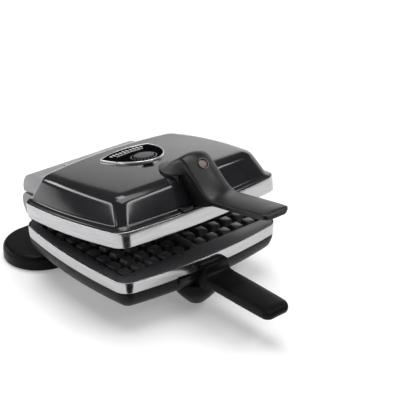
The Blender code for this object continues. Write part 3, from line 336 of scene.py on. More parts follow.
def bowedOutline(halfX, halfY, bowX, bowY, radius, shiftY=0.0, sideSteps=14, cornerSteps=12):
    # a rectangle with four arched sides and round corners, counter-clockwise
    longRadius = (halfX ** 2 + bowY ** 2) / (2 * bowY)
    sideRadius = (halfY ** 2 + bowX ** 2) / (2 * bowX)
    longCentre = (0.0, halfY + bowY - longRadius)
    sideCentre = (halfX + bowX - sideRadius, 0.0)
    corner = circleMeeting(longCentre, longRadius - radius, sideCentre, sideRadius - radius)
    sideEnd = math.atan2(corner[1], corner[0] - sideCentre[0])
    longStart = math.atan2(corner[1] - longCentre[1], corner[0])
    quarter = []
    for i in range(sideSteps):
        angle = sideEnd * i / sideSteps
        quarter.append((sideCentre[0] + sideRadius * math.cos(angle), sideRadius * math.sin(angle)))
    for i in range(cornerSteps):
        angle = sideEnd + (longStart - sideEnd) * i / cornerSteps
        quarter.append((corner[0] + radius * math.cos(angle), corner[1] + radius * math.sin(angle)))
    for i in range(sideSteps):
        angle = longStart + (math.pi / 2 - longStart) * i / sideSteps
        quarter.append((longRadius * math.cos(angle), longCentre[1] + longRadius * math.sin(angle)))
    upper = quarter + [(0.0, halfY + bowY)] + [(-x, y) for x, y in reversed(quarter[1:])]
    upper.append((-quarter[0][0], 0.0))
    lower = [(-x, -y) for x, y in upper[1:-1]]
    return [(x, y + shiftY) for x, y in upper + lower]


def bodyRing(inset, z):
    # the outline shared by both halves, drawn in by the inset
    outline = bowedOutline(body["halfWidth"] - inset, body["halfDepth"] - inset, body["sideBow"],
                           body["frontBow"], max(body["cornerRadius"] - inset, 8 * mm))
    return [(x, y, z) for x, y in outline]


def fromCad(node, slotName, bodyName, bevel, tools=()):
    # a CAD piece whose shape is right, with its loose triangles merged, its flat
    # faces made whole again, the tools cut out of it and its edges softened
    meshData = bmesh.new()
    meshData.from_mesh(frame["nodes"][node].data)
    bmesh.ops.remove_doubles(meshData, verts=meshData.verts, dist=0.005 * mm)
    bmesh.ops.dissolve_limit(meshData, angle_limit=math.radians(0.3), verts=meshData.verts,
                             edges=meshData.edges)
    piece = scratchObject(node + "_soft", meshData)
    piece.data.transform(toRow[bodyName].inverted())
    if tools:
        cutWith(piece, tools)
    softenEdges(piece, bevel, 2, 32.0)
    finishObject(piece, bodyName, slotName, [node])


# lower body
casing = {
    "wall": 2.5 * mm, "coverInset": 44 * mm, "bandGap": 0.3 * mm, "lipInset": 0.9 * mm,
    # inset from the outline in mm and share of the fall, from the band to the underside
    "profile": ((0.6, 0.0), (1.4, 0.24), (4.2, 0.50), (8.8, 0.69), (15.0, 0.84), (22.0, 0.95), (31.0, 1.0)),
    "slotHalf": 9.5 * mm, "slotReach": (-8 * mm, 14 * mm), "slotPlay": 0.6 * mm, "fit": 0.4 * mm,
}


def casingProfile():
    # the side of the lower casing: (inset, height) from the band down
    top = body["bandBottom"] - casing["bandGap"]
    fall = top - body["floor"]
    return throughPoints([(inset * mm, top - share * fall) for inset, share in casing["profile"]], 4)


def makeLowerCasing():
    # an open tub, its wall thickened inwards, with a slot for the plate latch
    profile = casingProfile()
    wall, floor = casing["wall"], body["floor"]
    top = profile[0][1]
    outer = [bodyRing(inset, z) for inset, z in [(casing["lipInset"], top)] + profile[1:]]
    outer.append(bodyRing(casing["coverInset"], floor))
    inside = [bodyRing(casing["coverInset"], floor + wall)]
    for inset, z in reversed(profile[2::3]):
        inside.append(bodyRing(inset + wall, max(z + 0.4 * wall, floor + wall)))
    inside.append(bodyRing(profile[0][0] + wall, top))
    piece = scratchObject("lowerCasing", loft(outer + inside, "loop"))
    low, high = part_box("lower_plate_latch")
    middle, half = (low.x + high.x) / 2, casing["slotHalf"]
    reach, play = casing["slotReach"], casing["slotPlay"]
    cutWith(piece, [block("latchSlot", (middle - half, middle + half), [body["front"] + r for r in reach],
                          (low.z - play, high.z + play))])
    # the lower casing takes the darker, shineless copy of the black ABS: painted shade
    finishObject(piece, "base", "gloss_black_abs", ["lower_casing"], finish=moreFinishes["casing"])


def bodyShape():
    # the lower half with a little play all round, to be cut out of what is fixed to it
    fit = casing["fit"]
    rings = [bodyRing(-fit, body["bandTop"] + 10 * mm), bodyRing(-fit, body["bandBottom"] - 1 * mm)]
    return scratchObject("bodyShape", loft(rings + [bodyRing(inset - fit, z - fit)
                                                    for inset, z in casingProfile()[1:]]))


bands = {"wall": 1.0 * mm, "edge": 0.55 * mm, "lip": 0.1 * mm}


def makeBand(name, low, high, bodyName, node):
    # strip steel with rolled edges; the strip map runs round it in real metres
    edge, wall, lip = bands["edge"], bands["wall"], bands["lip"]
    rolled = [(edge * (1 - math.sin(a)), edge * (1 - math.cos(a))) for a in (0.0, 0.5, 1.0, math.pi / 2)]
    profile = [(wall, low + lip)] + [(inset, low + rise) for inset, rise in rolled]
    profile += [(inset, high - rise) for inset, rise in reversed(rolled)] + [(wall, high - lip)]
    meshData = loft([bodyRing(inset, z) for inset, z in profile], "loop")
    strip = meshData.loops.layers.uv.new("strip")
    outline = bodyRing(0.0, 0.0)
    count = len(outline)
    around = [0.0]
    for i in range(count):
        around.append(around[-1] + math.dist(outline[i], outline[(i + 1) % count]))
    for face in meshData.faces:
        columns = [loop.vert.index % count for loop in face.loops]
        for loop, column in zip(face.loops, columns):
            wraps = column == 0 and max(columns) == count - 1
            loop[strip].uv = (around[count] if wraps else around[column], loop.vert.co.z)
    finishObject(scratchObject(name, meshData), bodyName, "brushed_steel", [node], 40.0)


def newTree(name, *given):
    # an empty Geometry Nodes tree with these named inputs, and its input node's sockets
    tree = bpy.data.node_groups.new(name, "GeometryNodeTree")
    for label, kind in given:
        tree.interface.new_socket(label, in_out="INPUT", socket_type="NodeSocket" + kind)
    tree.interface.new_socket("Geometry", in_out="OUTPUT", socket_type="NodeSocketGeometry")
    return tree, addNode(tree, "NodeGroupInput").outputs


def endTree(tree, geometry, finish):
    # every tree ends in real geometry with its material
    real = addNode(tree, "GeometryNodeRealizeInstances", {"Geometry": geometry}).outputs[0]
    coated = addNode(tree, "GeometryNodeSetMaterial", {"Geometry": real, "Material": finish})
    addNode(tree, "NodeGroupOutput", {"Geometry": coated.outputs[0]})
    return tree


# cooking plates
plate = {
    "pitch": 21 * mm, "columns": 5, "rows": 8, "postFoot": 16.0 * mm, "postTip": 12.2 * mm,
    "postRound": 1.3 * mm, "divider": 12.5 * mm, "depth": 11 * mm, "postSink": 1.2 * mm,
    "inset": 2.0 * mm, "rimSink": 0.4 * mm, "underneath": 2.5 * mm, "sideDraft": 0.4 * mm,
    "rimEdge": 0.8 * mm, "pocketRadius": 4 * mm, "pocketDraft": 1.2 * mm, "pocketMargin": 0.5 * mm,
    "softEdge": 0.9 * mm,
    # in mm: (past the foot's half width, height) and (past the tip's half width, below the top)
    "footCurve": ((0.9, 0.0), (0.2, 0.4), (-0.3, 1.4)), "tipCurve": ((0.5, 1.3), (0.1, 0.4), (-1.0, 0.0)),
}


def roundedBox(lowX, highX, lowY, highY, radius, steps=5):
    corners = [((highX - radius, highY - radius), 0), ((lowX + radius, highY - radius), 90),
               ((lowX + radius, lowY + radius), 180), ((highX - radius, lowY + radius), 270)]
    points = []
    for centre, start in corners:
        points += arc(centre, radius, start, start + 90, steps)
    return points


def makePost():
    # one square post, its foot flared and its tip softened
    half, tip = plate["postFoot"] / 2, plate["postTip"] / 2
    height = plate["depth"] - plate["postSink"]
    rows = [(half + out * mm, z * mm) for out, z in plate["footCurve"]]
    rows += [(tip + out * mm, height - drop * mm) for out, drop in plate["tipCurve"]]
    return scratchObject("post", loft([
        [(x, y, z) for x, y in roundedBox(-reach, reach, -reach, reach, plate["postRound"], 2)]
        for reach, z in rows]))


def postTree():
    # two pockets of posts on a plate
    tree, given = newTree(
        "posts on a plate", ("Plate", "Geometry"), ("Post", "Object"), ("Columns", "Int"), ("Rows", "Int"),
        ("Pitch", "Float"), ("Pocket middle", "Float"), ("Pocket floor", "Float"), ("Coating", "Material"))

    def spanOf(count):
        fewer = addNode(tree, "ShaderNodeMath", {0: given[count], 1: 1.0}, operation="SUBTRACT").outputs[0]
        return addNode(tree, "ShaderNodeMath", {0: fewer, 1: given["Pitch"]}, operation="MULTIPLY").outputs[0]

    grid = addNode(tree, "GeometryNodeMeshGrid", {
        "Size X": spanOf("Columns"), "Size Y": spanOf("Rows"),
        "Vertices X": given["Columns"], "Vertices Y": given["Rows"]}).outputs["Mesh"]
    both = addNode(tree, "GeometryNodeJoinGeometry")
    for side in (-1.0, 1.0):
        across = addNode(tree, "ShaderNodeMath", {0: given["Pocket middle"], 1: side},
                         operation="MULTIPLY").outputs[0]
        seat = addNode(tree, "ShaderNodeCombineXYZ", {"X": across, "Z": given["Pocket floor"]}).outputs[0]
        pocket = addNode(tree, "GeometryNodeTransform", {"Geometry": grid, "Translation": seat})
        tree.links.new(pocket.outputs[0], both.inputs[0])
    shape = addNode(tree, "GeometryNodeObjectInfo", {"Object": given["Post"]}).outputs["Geometry"]
    posts = addNode(tree, "GeometryNodeInstanceOnPoints", {"Points": both.outputs[0], "Instance": shape})
    whole = addNode(tree, "GeometryNodeJoinGeometry")
    tree.links.new(posts.outputs[0], whole.inputs[0])
    tree.links.new(given["Plate"], whole.inputs[0])
    return endTree(tree, whole.outputs[0], given["Coating"])


def growWith(item, tree, values):
    modifier = item.modifiers.new("grow", "NODES")
    modifier.node_group = tree
    for socket in tree.interface.items_tree:
        if socket.in_out == "INPUT" and socket.name in values:
            modifier[socket.identifier] = values[socket.name]


def makePlates():
    # a rimmed plate with two pockets, grown full of posts; the upper plate is it turned over
    rim = body["bandTop"] - plate["rimSink"]
    floorZ = rim - plate["depth"]
    under = floorZ - plate["underneath"]
    inset, margin, draft = plate["inset"], plate["pocketMargin"], plate["pocketDraft"]
    halfY = plate["rows"] * plate["pitch"] / 2 + margin
    innerX = plate["divider"] / 2 - margin
    outerX = plate["divider"] / 2 + plate["columns"] * plate["pitch"] + margin
    piece = scratchObject("plate", loft([bodyRing(inset + plate["sideDraft"], under),
                                         bodyRing(inset, rim - plate["rimEdge"]), bodyRing(inset, rim)]))
    tools = []
    for side in (-1, 1):
        low, high = sorted((side * innerX, side * outerX))
        rings = []
        for grow, z in ((0.0, floorZ), (draft, rim + 2 * mm)):
            outline = roundedBox(low - grow, high + grow, -halfY - grow, halfY + grow, plate["pocketRadius"])
            rings.append([(x, y, z) for x, y in outline])
        tools.append(scratchObject("pocket", loft(rings)))
    cutWith(piece, tools)
    softenEdges(piece, plate["softEdge"], 3, 30.0)
    post = makePost()
    growWith(piece, postTree(), {
        "Post": post, "Columns": plate["columns"], "Rows": plate["rows"], "Pitch": plate["pitch"],
        "Pocket middle": (innerX + outerX) / 2, "Pocket floor": floorZ - 0.02 * mm,
        "Coating": finishes["nonstick_coating"]})
    bakeModifiers(piece, [post])
    upper = bpy.data.objects.new("upperPlate", piece.data.copy())
    bpy.context.scene.collection.objects.link(upper)
    turnOver = bmesh.new()
    turnOver.from_mesh(upper.data)
    for vert in turnOver.verts:
        vert.co.z = 2 * body["closing"] - vert.co.z
    bmesh.ops.reverse_faces(turnOver, faces=turnOver.faces)
    turnOver.to_mesh(upper.data)
    turnOver.free()
    piece.name = "lowerPlate"
    finishObject(piece, "base", "nonstick_coating", ["lower_waffle_plate"], 28.0)
    finishObject(upper, "lid", "nonstick_coating", ["upper_waffle_plate"], 28.0)


# lid
dome = {
    "crestHalfX": 106 * mm, "crestHalfY": 82 * mm, "crestBowX": 5.5 * mm, "crestBowY": 7 * mm,
    "crestCorner": 17 * mm, "footCorner": 15 * mm, "footBow": 10 * mm, "shift": -2 * mm,
    "height": 39.9 * mm, "fallX": 3.5 * mm, "fallY": 2.6 * mm, "wallFoot": 6.5 * mm, "footRise": 2.9 * mm,
    "fillet": 14 * mm, "filletShare": 0.26, "footFlare": 1.3 * mm, "flareShare": 0.06, "wall": 2.5 * mm,
    "swell": 0.25 * mm,
    # in mm, inset from the outline and height over the band: the flange, then the inner seat
    "flange": ((2.3, 0.4), (2.0, 0.7), (2.0, 1.2), (2.3, 1.6), (3.0, 1.8)), "seat": ((12.0, 3.0), (6.0, 0.4)),
    "latchX": -29 * mm, "slotHalf": 9.5 * mm, "slotReach": (-3 * mm, 18 * mm),
    "slotRise": (-1 * mm, 6.4 * mm),
}
domePeak = body["upperTop"] + dome["height"]


def domeTop(x, y):
    across = x / (dome["crestHalfX"] + dome["crestBowX"])
    along = (y - dome["shift"]) / (dome["crestHalfY"] + dome["crestBowY"])
    return domePeak - dome["fallX"] * across ** 2 - dome["fallY"] * along ** 2


def domeOutline(share, out):
    # the wall's outline: share is 0 at the foot and 1 at the crest
    def mix(low, high):
        return low + (high - low) * share

    return bowedOutline(mix(body["halfWidth"] - dome["wallFoot"], dome["crestHalfX"]) + out,
                        mix(body["halfDepth"] - dome["wallFoot"], dome["crestHalfY"]) + out,
                        mix(body["sideBow"], dome["crestBowX"]), mix(dome["footBow"], dome["crestBowY"]),
                        mix(dome["footCorner"], dome["crestCorner"]) + out, mix(0.0, dome["shift"]))


def domeRings(offset, wallSteps, filletSteps, topShares):
    # from the flared foot up the wall, round the fillet and over the top
    footZ = body["upperTop"] + dome["footRise"]
    low, flare, rise = dome["filletShare"], dome["footFlare"], dome["flareShare"]

    def ring(share, out, drop):
        rows = []
        for x, y in domeOutline(share, out + offset):
            top = domeTop(x, y)
            rows.append((x, y, top - drop * (top - footZ) + offset * (1 - drop)))
        return rows

    rings = []
    for i in range(7):
        turn = math.pi / 2 * i / 6
        share = rise * (1 - math.cos(turn))
        rings.append(ring(share, flare * (1 - math.sin(turn)), 1 - share))
    for i in range(1, wallSteps + 1):
        share = rise + (1 - low - rise) * i / wallSteps
        swell = dome["swell"] * math.sin(math.pi * min(share / (1 - low), 1.0))
        rings.append(ring(share, swell, 1 - share))
    for i in range(1, filletSteps + 1):
        t = i / filletSteps
        rings.append(ring(1 - (1 - t) ** 2 * low, -dome["fillet"] * t ** 2, (1 - t) ** 2 * low))
    crest = domeOutline(1.0, -dome["fillet"])
    for share in topShares:
        inner = [(x * share, (y - dome["shift"]) * share + dome["shift"]) for x, y in crest]
        rings.append([(x, y, domeTop(x, y) + offset) for x, y in inner])
    return rings


def closedShell(outer, inside):
    # outer rings up to the top, then the inner ones down, meeting at the open edge
    meshData = bmesh.new()
    rows = [[meshData.verts.new(p) for p in ring] for ring in outer + inside]
    count = len(rows[0])
    turn = len(outer)
    for index, (low, high) in enumerate(zip(rows, rows[1:] + rows[:1])):
        if index != turn - 1:
            for i in range(count):
                j = (i + 1) % count
                meshData.faces.new((low[i], low[j], high[j], high[i]))
    meshData.faces.new(rows[turn - 1])
    meshData.faces.new(rows[turn])
    bmesh.ops.recalc_face_normals(meshData, faces=meshData.faces)
    return meshData


def makeLidCasing():
    # the domed shell on its flange, with a slot for the plate latch
    top = body["upperTop"]
    flange, seat = ([bodyRing(inset * mm, top + z * mm) for inset, z in dome[key]]
                    for key in ("flange", "seat"))
    outer = flange + domeRings(0.0, 12, 10, [0.9, 0.8, 0.7, 0.6, 0.5, 0.4, 0.3, 0.2, 0.1, 0.03])
    inside = domeRings(-dome["wall"], 4, 3, [0.6, 0.2])[5:]
    piece = scratchObject("lidCasing", closedShell(outer, inside[::-1] + seat))
    middle, half = dome["latchX"], dome["slotHalf"]
    cutWith(piece, [block("latchSlot", (middle - half, middle + half),
                          [body["front"] + r for r in dome["slotReach"]],
                          [top + r for r in dome["slotRise"]])])
    finishObject(piece, "lid", "gloss_black_abs", ["lid_casing"])


# handles
upperGrip = {
    "drop": 5.2 * mm, "shoulder": 3.2 * mm, "lampPlay": 0.2 * mm,
    # along the handle's middle from the grip's end to the point of its nose, in mm: y and z
    # on top, y and z at the parting line, half width on top and below, arch; z from the base
    "spine": (
        (-238.0, 40.5, -238.0, 38.6, 15.0, 14.5, 1.0), (-236.0, 41.8, -236.0, 38.0, 18.0, 17.5, 1.4),
        (-231.0, 42.5, -231.0, 37.8, 19.8, 19.3, 1.8), (-200.0, 42.5, -200.0, 37.8, 20.8, 20.3, 2.2),
        (-160.0, 42.5, -160.0, 37.8, 20.8, 20.3, 2.6), (-147.0, 43.1, -145.5, 38.0, 20.8, 20.3, 3.2),
        (-139.0, 46.2, -135.0, 40.8, 20.8, 20.3, 4.0), (-130.0, 53.5, -125.8, 48.0, 20.8, 20.3, 4.6),
        (-118.5, 66.0, -114.0, 61.2, 20.8, 20.3, 5.0), (-108.5, 77.0, -103.5, 66.8, 20.6, 21.2, 5.2),
        (-103.0, 82.5, -98.5, 66.7, 20.5, 22.5, 5.0), (-96.5, 84.5, -94.0, 66.6, 20.7, 24.0, 4.4),
        (-87.0, 81.8, -87.0, 66.4, 21.5, 27.2, 4.0), (-76.0, 76.8, -76.0, 66.2, 21.8, 28.0, 3.8),
        (-63.0, 71.2, -62.0, 66.0, 19.0, 24.6, 3.4), (-52.0, 68.5, -50.0, 65.8, 13.2, 17.8, 2.2),
        (-44.0, 67.2, -42.0, 65.6, 7.0, 10.5, 1.0), (-40.5, 66.6, -38.5, 65.5, 2.5, 5.0, 0.3)),
}


def coverRows():
    # the rows of the spine in metres and in body coordinates
    base = body["closing"] - upperGrip["drop"]
    return [(y * mm, base + up * mm, lowY * mm, base + down * mm, wide * mm, low * mm, arch * mm)
            for y, up, lowY, down, wide, low, arch in upperGrip["spine"]]


def coverRing(row, outY, outZ):
    # flank, bent shoulder, arched crown, then the shoulder and flank of the other side
    y, z, underY, underZ, wide, low, arch = row
    shoulder = min(upperGrip["shoulder"], 0.45 * wide)

    def onTop(x):
        lift = arch * (1 - (x / wide) ** 2)
        return (x, y + outY * lift, z + outZ * lift)

    foot = (low, underY, underZ)
    corner = (wide, y, z)
    right = [tuple(a + (b - a) * t for a, b in zip(foot, corner)) for t in (0.0, 0.08, 0.35)]
    start = tuple(a + (b - a) * 0.62 for a, b in zip(foot, corner))
    ends = list(zip(start, corner, onTop(wide - shoulder)))
    for t in (0.0, 0.2, 0.4, 0.6, 0.8, 1.0):
        right.append(tuple((1 - t) ** 2 * a + 2 * t * (1 - t) * b + t ** 2 * c for a, b, c in ends))
    crown = [onTop((wide - shoulder) * (1 - i / 7)) for i in range(1, 14)]
    left = [(-x, yy, zz) for x, yy, zz in reversed(right)]
    return right + crown + left


def makeUpperHandle():
    # the cover, lofted along its spine, with a hole for the lamp
    rows = throughPoints(coverRows(), 5)
    rings = []
    for i, row in enumerate(rows):
        before, after = rows[max(i - 1, 0)], rows[min(i + 1, len(rows) - 1)]
        run = math.hypot(after[0] - before[0], after[1] - before[1])
        rings.append(coverRing(row, -(after[1] - before[1]) / run, (after[0] - before[0]) / run))
    piece = scratchObject("handleCover", loft(rings))
    wide = lamp["radius"] + lamp["rimWidth"] + upperGrip["lampPlay"]
    hole = aimedLamp(loft(turned([(wide, -7.5 * mm), (wide, 12 * mm)], lamp["place"])))
    cutWith(piece, [scratchObject("lampHole", hole)])
    finishObject(piece, "lid", "matte_black_phenolic", ["upper_handle_cover"], 40.0)


lamp = {
    "place": (0.0, -115 * mm, 147 * mm), "radius": 6.2 * mm, "tilt": 51.5, "rimWidth": 1.1 * mm,
    # the turned bezel in mm: past the radius and height over the seat
    "bezel": ((-0.6, -4.0), (-0.6, 0.2), (-0.3, 0.9), (0.1, 1.5), (0.6, 1.5), (1.0, 1.0), (1.1, 0.0),
              (1.1, -4.0)),
    "lensGap": 0.9 * mm, "lensRise": 1.2 * mm, "ripple": 0.07 * mm, "ripples": 9,
}


def aimedLamp(meshData):
    # tips what is turned about the lamp's seat to face the way the lamp does
    seat = Matrix.Translation(lamp["place"])
    turn = seat @ Matrix.Rotation(math.radians(lamp["tilt"]), 4, "X") @ seat.inverted()
    bmesh.ops.transform(meshData, matrix=turn, verts=meshData.verts)
    return meshData


def makeLamp():
    # a domed lens with moulded rings under a turned bezel
    radius, place = lamp["radius"], lamp["place"]
    rim = [(radius + out * mm, rise * mm) for out, rise in lamp["bezel"]]
    bezel = scratchObject("lampBezel", aimedLamp(loft(turned(rim, place), "loop")))
    finishObject(bezel, "lid", "gloss_black_abs", ["lamp_bezel"])
    edge = radius - lamp["lensGap"]
    curve = [(edge, -3.6 * mm), (edge, 0.1 * mm)]
    for i in range(1, 15):
        share = 1 - i / 15
        ripple = lamp["ripple"] * math.cos(share * lamp["ripples"] * math.pi)
        curve.append((edge * share, 0.2 * mm + lamp["lensRise"] * (1 - share ** 2) + ripple))
    lens = scratchObject("lampLens", aimedLamp(loft(turned(curve, place))))
    finishObject(lens, "lid", "lamp_lens", ["lamp_lens"], 50.0)


lowerGrip = {
    "half": 19.5 * mm, "top": 55.8 * mm, "thick": 13.8 * mm, "reach": 237 * mm, "soft": 2.2 * mm,
    # the rounded end, in mm: distance from it, narrowing and thinning
    "end": ((0.0, 7.0, 4.8), (0.8, 5.2, 3.4), (2.5, 3.4, 1.6), (7.0, 1.7, 0.4), (15.0, 0.9, 0.0),
            (60.0, 0.0, 0.0)),
    "bodyGap": 0.6 * mm, "rootLength": 11.5 * mm, "rootDrop": 4.2 * mm, "bandShare": 0.62,
    "neckRound": 6.2 * mm, "crownRound": 2.4 * mm,
}


def gripRing(y, narrow, drop):
    # flat underneath, drawn in low on the flanks, softened at the top edges and slightly crowned
    wide = lowerGrip["half"] - narrow * mm
    high, low = lowerGrip["top"] - drop * mm, lowerGrip["top"] - lowerGrip["thick"] + drop * mm
    edge = min(lowerGrip["soft"], (high - low) * 0.4)
    right = [(wide - 4 * mm, low), (wide - 1.6 * mm, low + 0.9 * mm), (wide, low + 3.6 * mm),
             (wide, high - edge), (wide - 0.25 * edge, high - 0.25 * edge), (wide - edge, high)]
    crown = [(x * (wide - edge), high + 0.6 * mm * (1 - x * x)) for x in (0.6, 0.2, -0.2, -0.6)]
    return [(x, y, z) for x, z in right + crown + [(-x, z) for x, z in reversed(right)]]


def makeLowerHandle():
    # the grip and its root in one, cut to the shape of the body
    half, top = lowerGrip["half"], lowerGrip["top"]
    root, end = body["front"] - lowerGrip["bodyGap"], -lowerGrip["reach"]
    keys = [(end + along * mm, narrow, drop) for along, narrow, drop in lowerGrip["end"]]
    keys.append((root - 14 * mm, 0.0, 0.0))
    piece = scratchObject("lowerGrip", loft([gripRing(*row) for row in throughPoints(keys, 4)]))
    # the root: a block that curves up from the grip to the band
    front, neck, crown = root - lowerGrip["rootLength"], lowerGrip["neckRound"], lowerGrip["crownRound"]
    peak = body["bandBottom"] + lowerGrip["bandShare"] * (body["bandTop"] - body["bandBottom"])
    low = top - lowerGrip["thick"] - lowerGrip["rootDrop"]
    outline = [(root + 12 * mm, low), (front - 2 * mm, low), (front - 12 * mm, low + 4.4 * mm),
               (front - 12 * mm, top - 1 * mm), (front - 9 * mm, top + 0.3 * mm)]
    outline += arc((front - neck, top + neck + 0.3 * mm), neck, -90, -8, 7)
    outline += arc((front + crown, peak - crown), crown, 180, 90, 5)
    outline.append((root + 12 * mm, peak))
    rootPiece = scratchObject("lowerRoot", loft([[(x, y, z) for y, z in outline]
                                                 for x in (-half + 0.4 * mm, half - 0.4 * mm)]))
    softenEdges(rootPiece, 0.8 * mm, 2, 50.0)
    cutWith(piece, [rootPiece], "UNION")
    cutWith(piece, [bodyShape()])
    # the grip takes the phenolic with its shine turned down: painted shade
    finishObject(piece, "base", "matte_black_phenolic", ["lower_handle"], 36.0, moreFinishes["shadedCopy"])


# badge, dial and lever
badge = {
    "halfWidth": 39.5 * mm, "length": 59.5 * mm, "wideY": 38 * mm, "backBow": 11.5 * mm, "backStep": 3.5 * mm,
    "ringWidth": 1.5 * mm, "ringFoot": 0.3 * mm, "height": 2.1 * mm, "ringRise": 0.9 * mm, "gap": 0.5 * mm,
    "fieldGap": 0.2 * mm,
}
dial = {
    "y": 2 * mm, "radius": 13 * mm, "lever": -28.0, "reach": 30.5 * mm, "armHeight": (0.4 * mm, 1.15 * mm),
    "tabHeight": (0.4 * mm, 2.6 * mm),
    # the disc in mm: inside the radius and height over the lid's top
    "disc": ((0.6, 0.8), (0.0, 1.2), (0.0, 2.6), (0.3, 3.3), (1.0, 3.7), (2.4, 3.9), (3.4, 3.75), (4.2, 3.8),
             (12.0, 4.1)),
    # half widths: the arm's at its far end and near the disc, the tab's at its inner and outer edge
    "arm": (5.2 * mm, 4.2 * mm), "tab": (7.8 * mm, 6.0 * mm),
}


def badgeOutline(inset, steps=40, backSteps=18):
    # a shield with two points at the back and a round front
    half = badge["halfWidth"] - inset
    length = badge["length"] - inset
    front = [(half * math.cos(math.pi * i / steps), badge["wideY"] - length * math.sin(math.pi * i / steps))
             for i in range(steps, -1, -1)]
    rise = badge["backBow"] - inset
    back = []
    for i in range(backSteps + 1):
        across = 1 - 2 * i / backSteps
        back.append((half * across, badge["wideY"] + rise * (1 - across ** 2) + badge["backStep"]))
    return front + back


def makeBadge():
    # a plated ring and an enamelled field that both follow the lid's top
    foot, width, high = badge["ringFoot"], badge["ringWidth"], badge["height"] + badge["ringRise"]
    side = [(0.0, foot), (0.0, high - 0.7 * mm), (0.25 * mm, high - 0.2 * mm), (0.7 * mm, high)]
    section = side + [(width - inset, lift) for inset, lift in reversed(side)]
    rings = [[(x, y, domeTop(x, y) + lift) for x, y in badgeOutline(inset)] for inset, lift in section]
    ring = scratchObject("badgeRing", loft(rings, "loop"))
    finishObject(ring, "lid", "chrome_trim", ["badge_trim_ring"], 45.0)
    edge = badgeOutline(width + badge["fieldGap"])
    middle = badge["wideY"] - 0.35 * badge["length"]
    rings = []
    for lift, shares in ((foot, (0.1, 0.4, 0.7, 1.0)), (badge["height"], (1.0, 0.85, 0.7, 0.4, 0.1))):
        for share in shares:
            points = [(x * share, middle + (y - middle) * share) for x, y in edge]
            rings.append([(x, y, domeTop(x, y) + lift) for x, y in points])
    piece = scratchObject("badgeField", loft(rings))
    wide = dial["radius"] + badge["gap"]
    hole = loft(turned([(wide, -6 * mm), (wide, 6 * mm)], (0.0, dial["y"], domePeak)))
    cutWith(piece, [scratchObject("dialHole", hole)])
    finishObject(piece, "lid", "gloss_black_abs", ["badge_plate"], finish=moreFinishes["enamel"])


def makeDial():
    # a low disc, and under it the lever's arm that ends in a tab outside the badge
    radius, point = dial["radius"], (0.0, dial["y"], domePeak)
    knob = scratchObject("dialKnob", loft(turned([(radius - inset * mm, rise * mm)
                                                  for inset, rise in dial["disc"]], point)))
    far, near = dial["y"] - dial["reach"], dial["y"] - radius + 3 * mm
    (farHalf, nearHalf), (wide, narrow) = dial["arm"], dial["tab"]
    arm = [(-farHalf, far), (farHalf, far), (nearHalf, near), (-nearHalf, near)]
    inner, outer = far + 1.5 * mm, far - 2.6 * mm
    tab = [(-wide, inner), (-narrow, outer), (narrow, outer), (wide, inner)]
    turn = (Matrix.Translation(point) @ Matrix.Rotation(math.radians(dial["lever"]), 4, "Z")
            @ Matrix.Translation(-Vector(point)))
    tools = []
    for outline, heights in ((arm, dial["armHeight"]), (tab, dial["tabHeight"])):
        part = prism(outline, *[domePeak + z for z in heights])
        bmesh.ops.transform(part, matrix=turn, verts=part.verts)
        tools.append(scratchObject("leverPart", part))
    softenEdges(tools[1], 0.5 * mm, 3, 30.0)
    cutWith(knob, tools, "UNION")
    finishObject(knob, "dial", "knob_grey", ["dial_knob"], 38.0)


# what repeats: screws, dots and marks
def scatterTree():
    # puts a part on every point, its Z along the point's aim, at the point's size
    tree, given = newTree("parts on points", ("Points", "Geometry"), ("Part", "Object"),
                          ("Finish", "Material"))
    kinds = {"aim": "FLOAT_VECTOR", "size": "FLOAT_VECTOR", "spin": "FLOAT"}
    told = {name: addNode(tree, "GeometryNodeInputNamedAttribute", {"Name": name}, data_type=kind).outputs[0]
            for name, kind in kinds.items()}
    facing = addNode(tree, "FunctionNodeAlignRotationToVector", {"Vector": told["aim"]}, axis="Z").outputs[0]
    about = addNode(tree, "ShaderNodeCombineXYZ", {"Z": told["spin"]}).outputs[0]
    turn = addNode(tree, "FunctionNodeEulerToRotation", {0: about}).outputs[0]
    both = addNode(tree, "FunctionNodeRotateRotation", {0: facing, 1: turn},
                   rotation_space="LOCAL").outputs[0]
    shape = addNode(tree, "GeometryNodeObjectInfo", {"Object": given["Part"]}).outputs["Geometry"]
    placed = addNode(tree, "GeometryNodeInstanceOnPoints", {
        "Points": given["Points"], "Instance": shape, "Rotation": both, "Scale": told["size"]})
    return endTree(tree, placed.outputs[0], given["Finish"])


scatter = scatterTree()


def scatterParts(name, part, seats, bodyName, slotName, nodes=(), finish=None, smooth=32.0):
    # seats: (point, aim, (size x, y, z), spin about the aim)
    data = bpy.data.meshes.new(name)
    data.from_pydata([seat[0] for seat in seats], [], [])
    for label, kind, place in (("aim", "FLOAT_VECTOR", 1), ("size", "FLOAT_VECTOR", 2), ("spin", "FLOAT", 3)):
        layer = data.attributes.new(label, kind, "POINT")
        for i, seat in enumerate(seats):
            if kind == "FLOAT":
                layer.data[i].value = seat[place]
            else:
                layer.data[i].vector = seat[place]
    item = bpy.data.objects.new(name, data)
    bpy.context.scene.collection.objects.link(item)
    growWith(item, scatter, {"Part": part, "Finish": finish or finishes[slotName]})
    bakeModifiers(item, [part])
    finishObject(item, bodyName, slotName, nodes, smooth, finish)


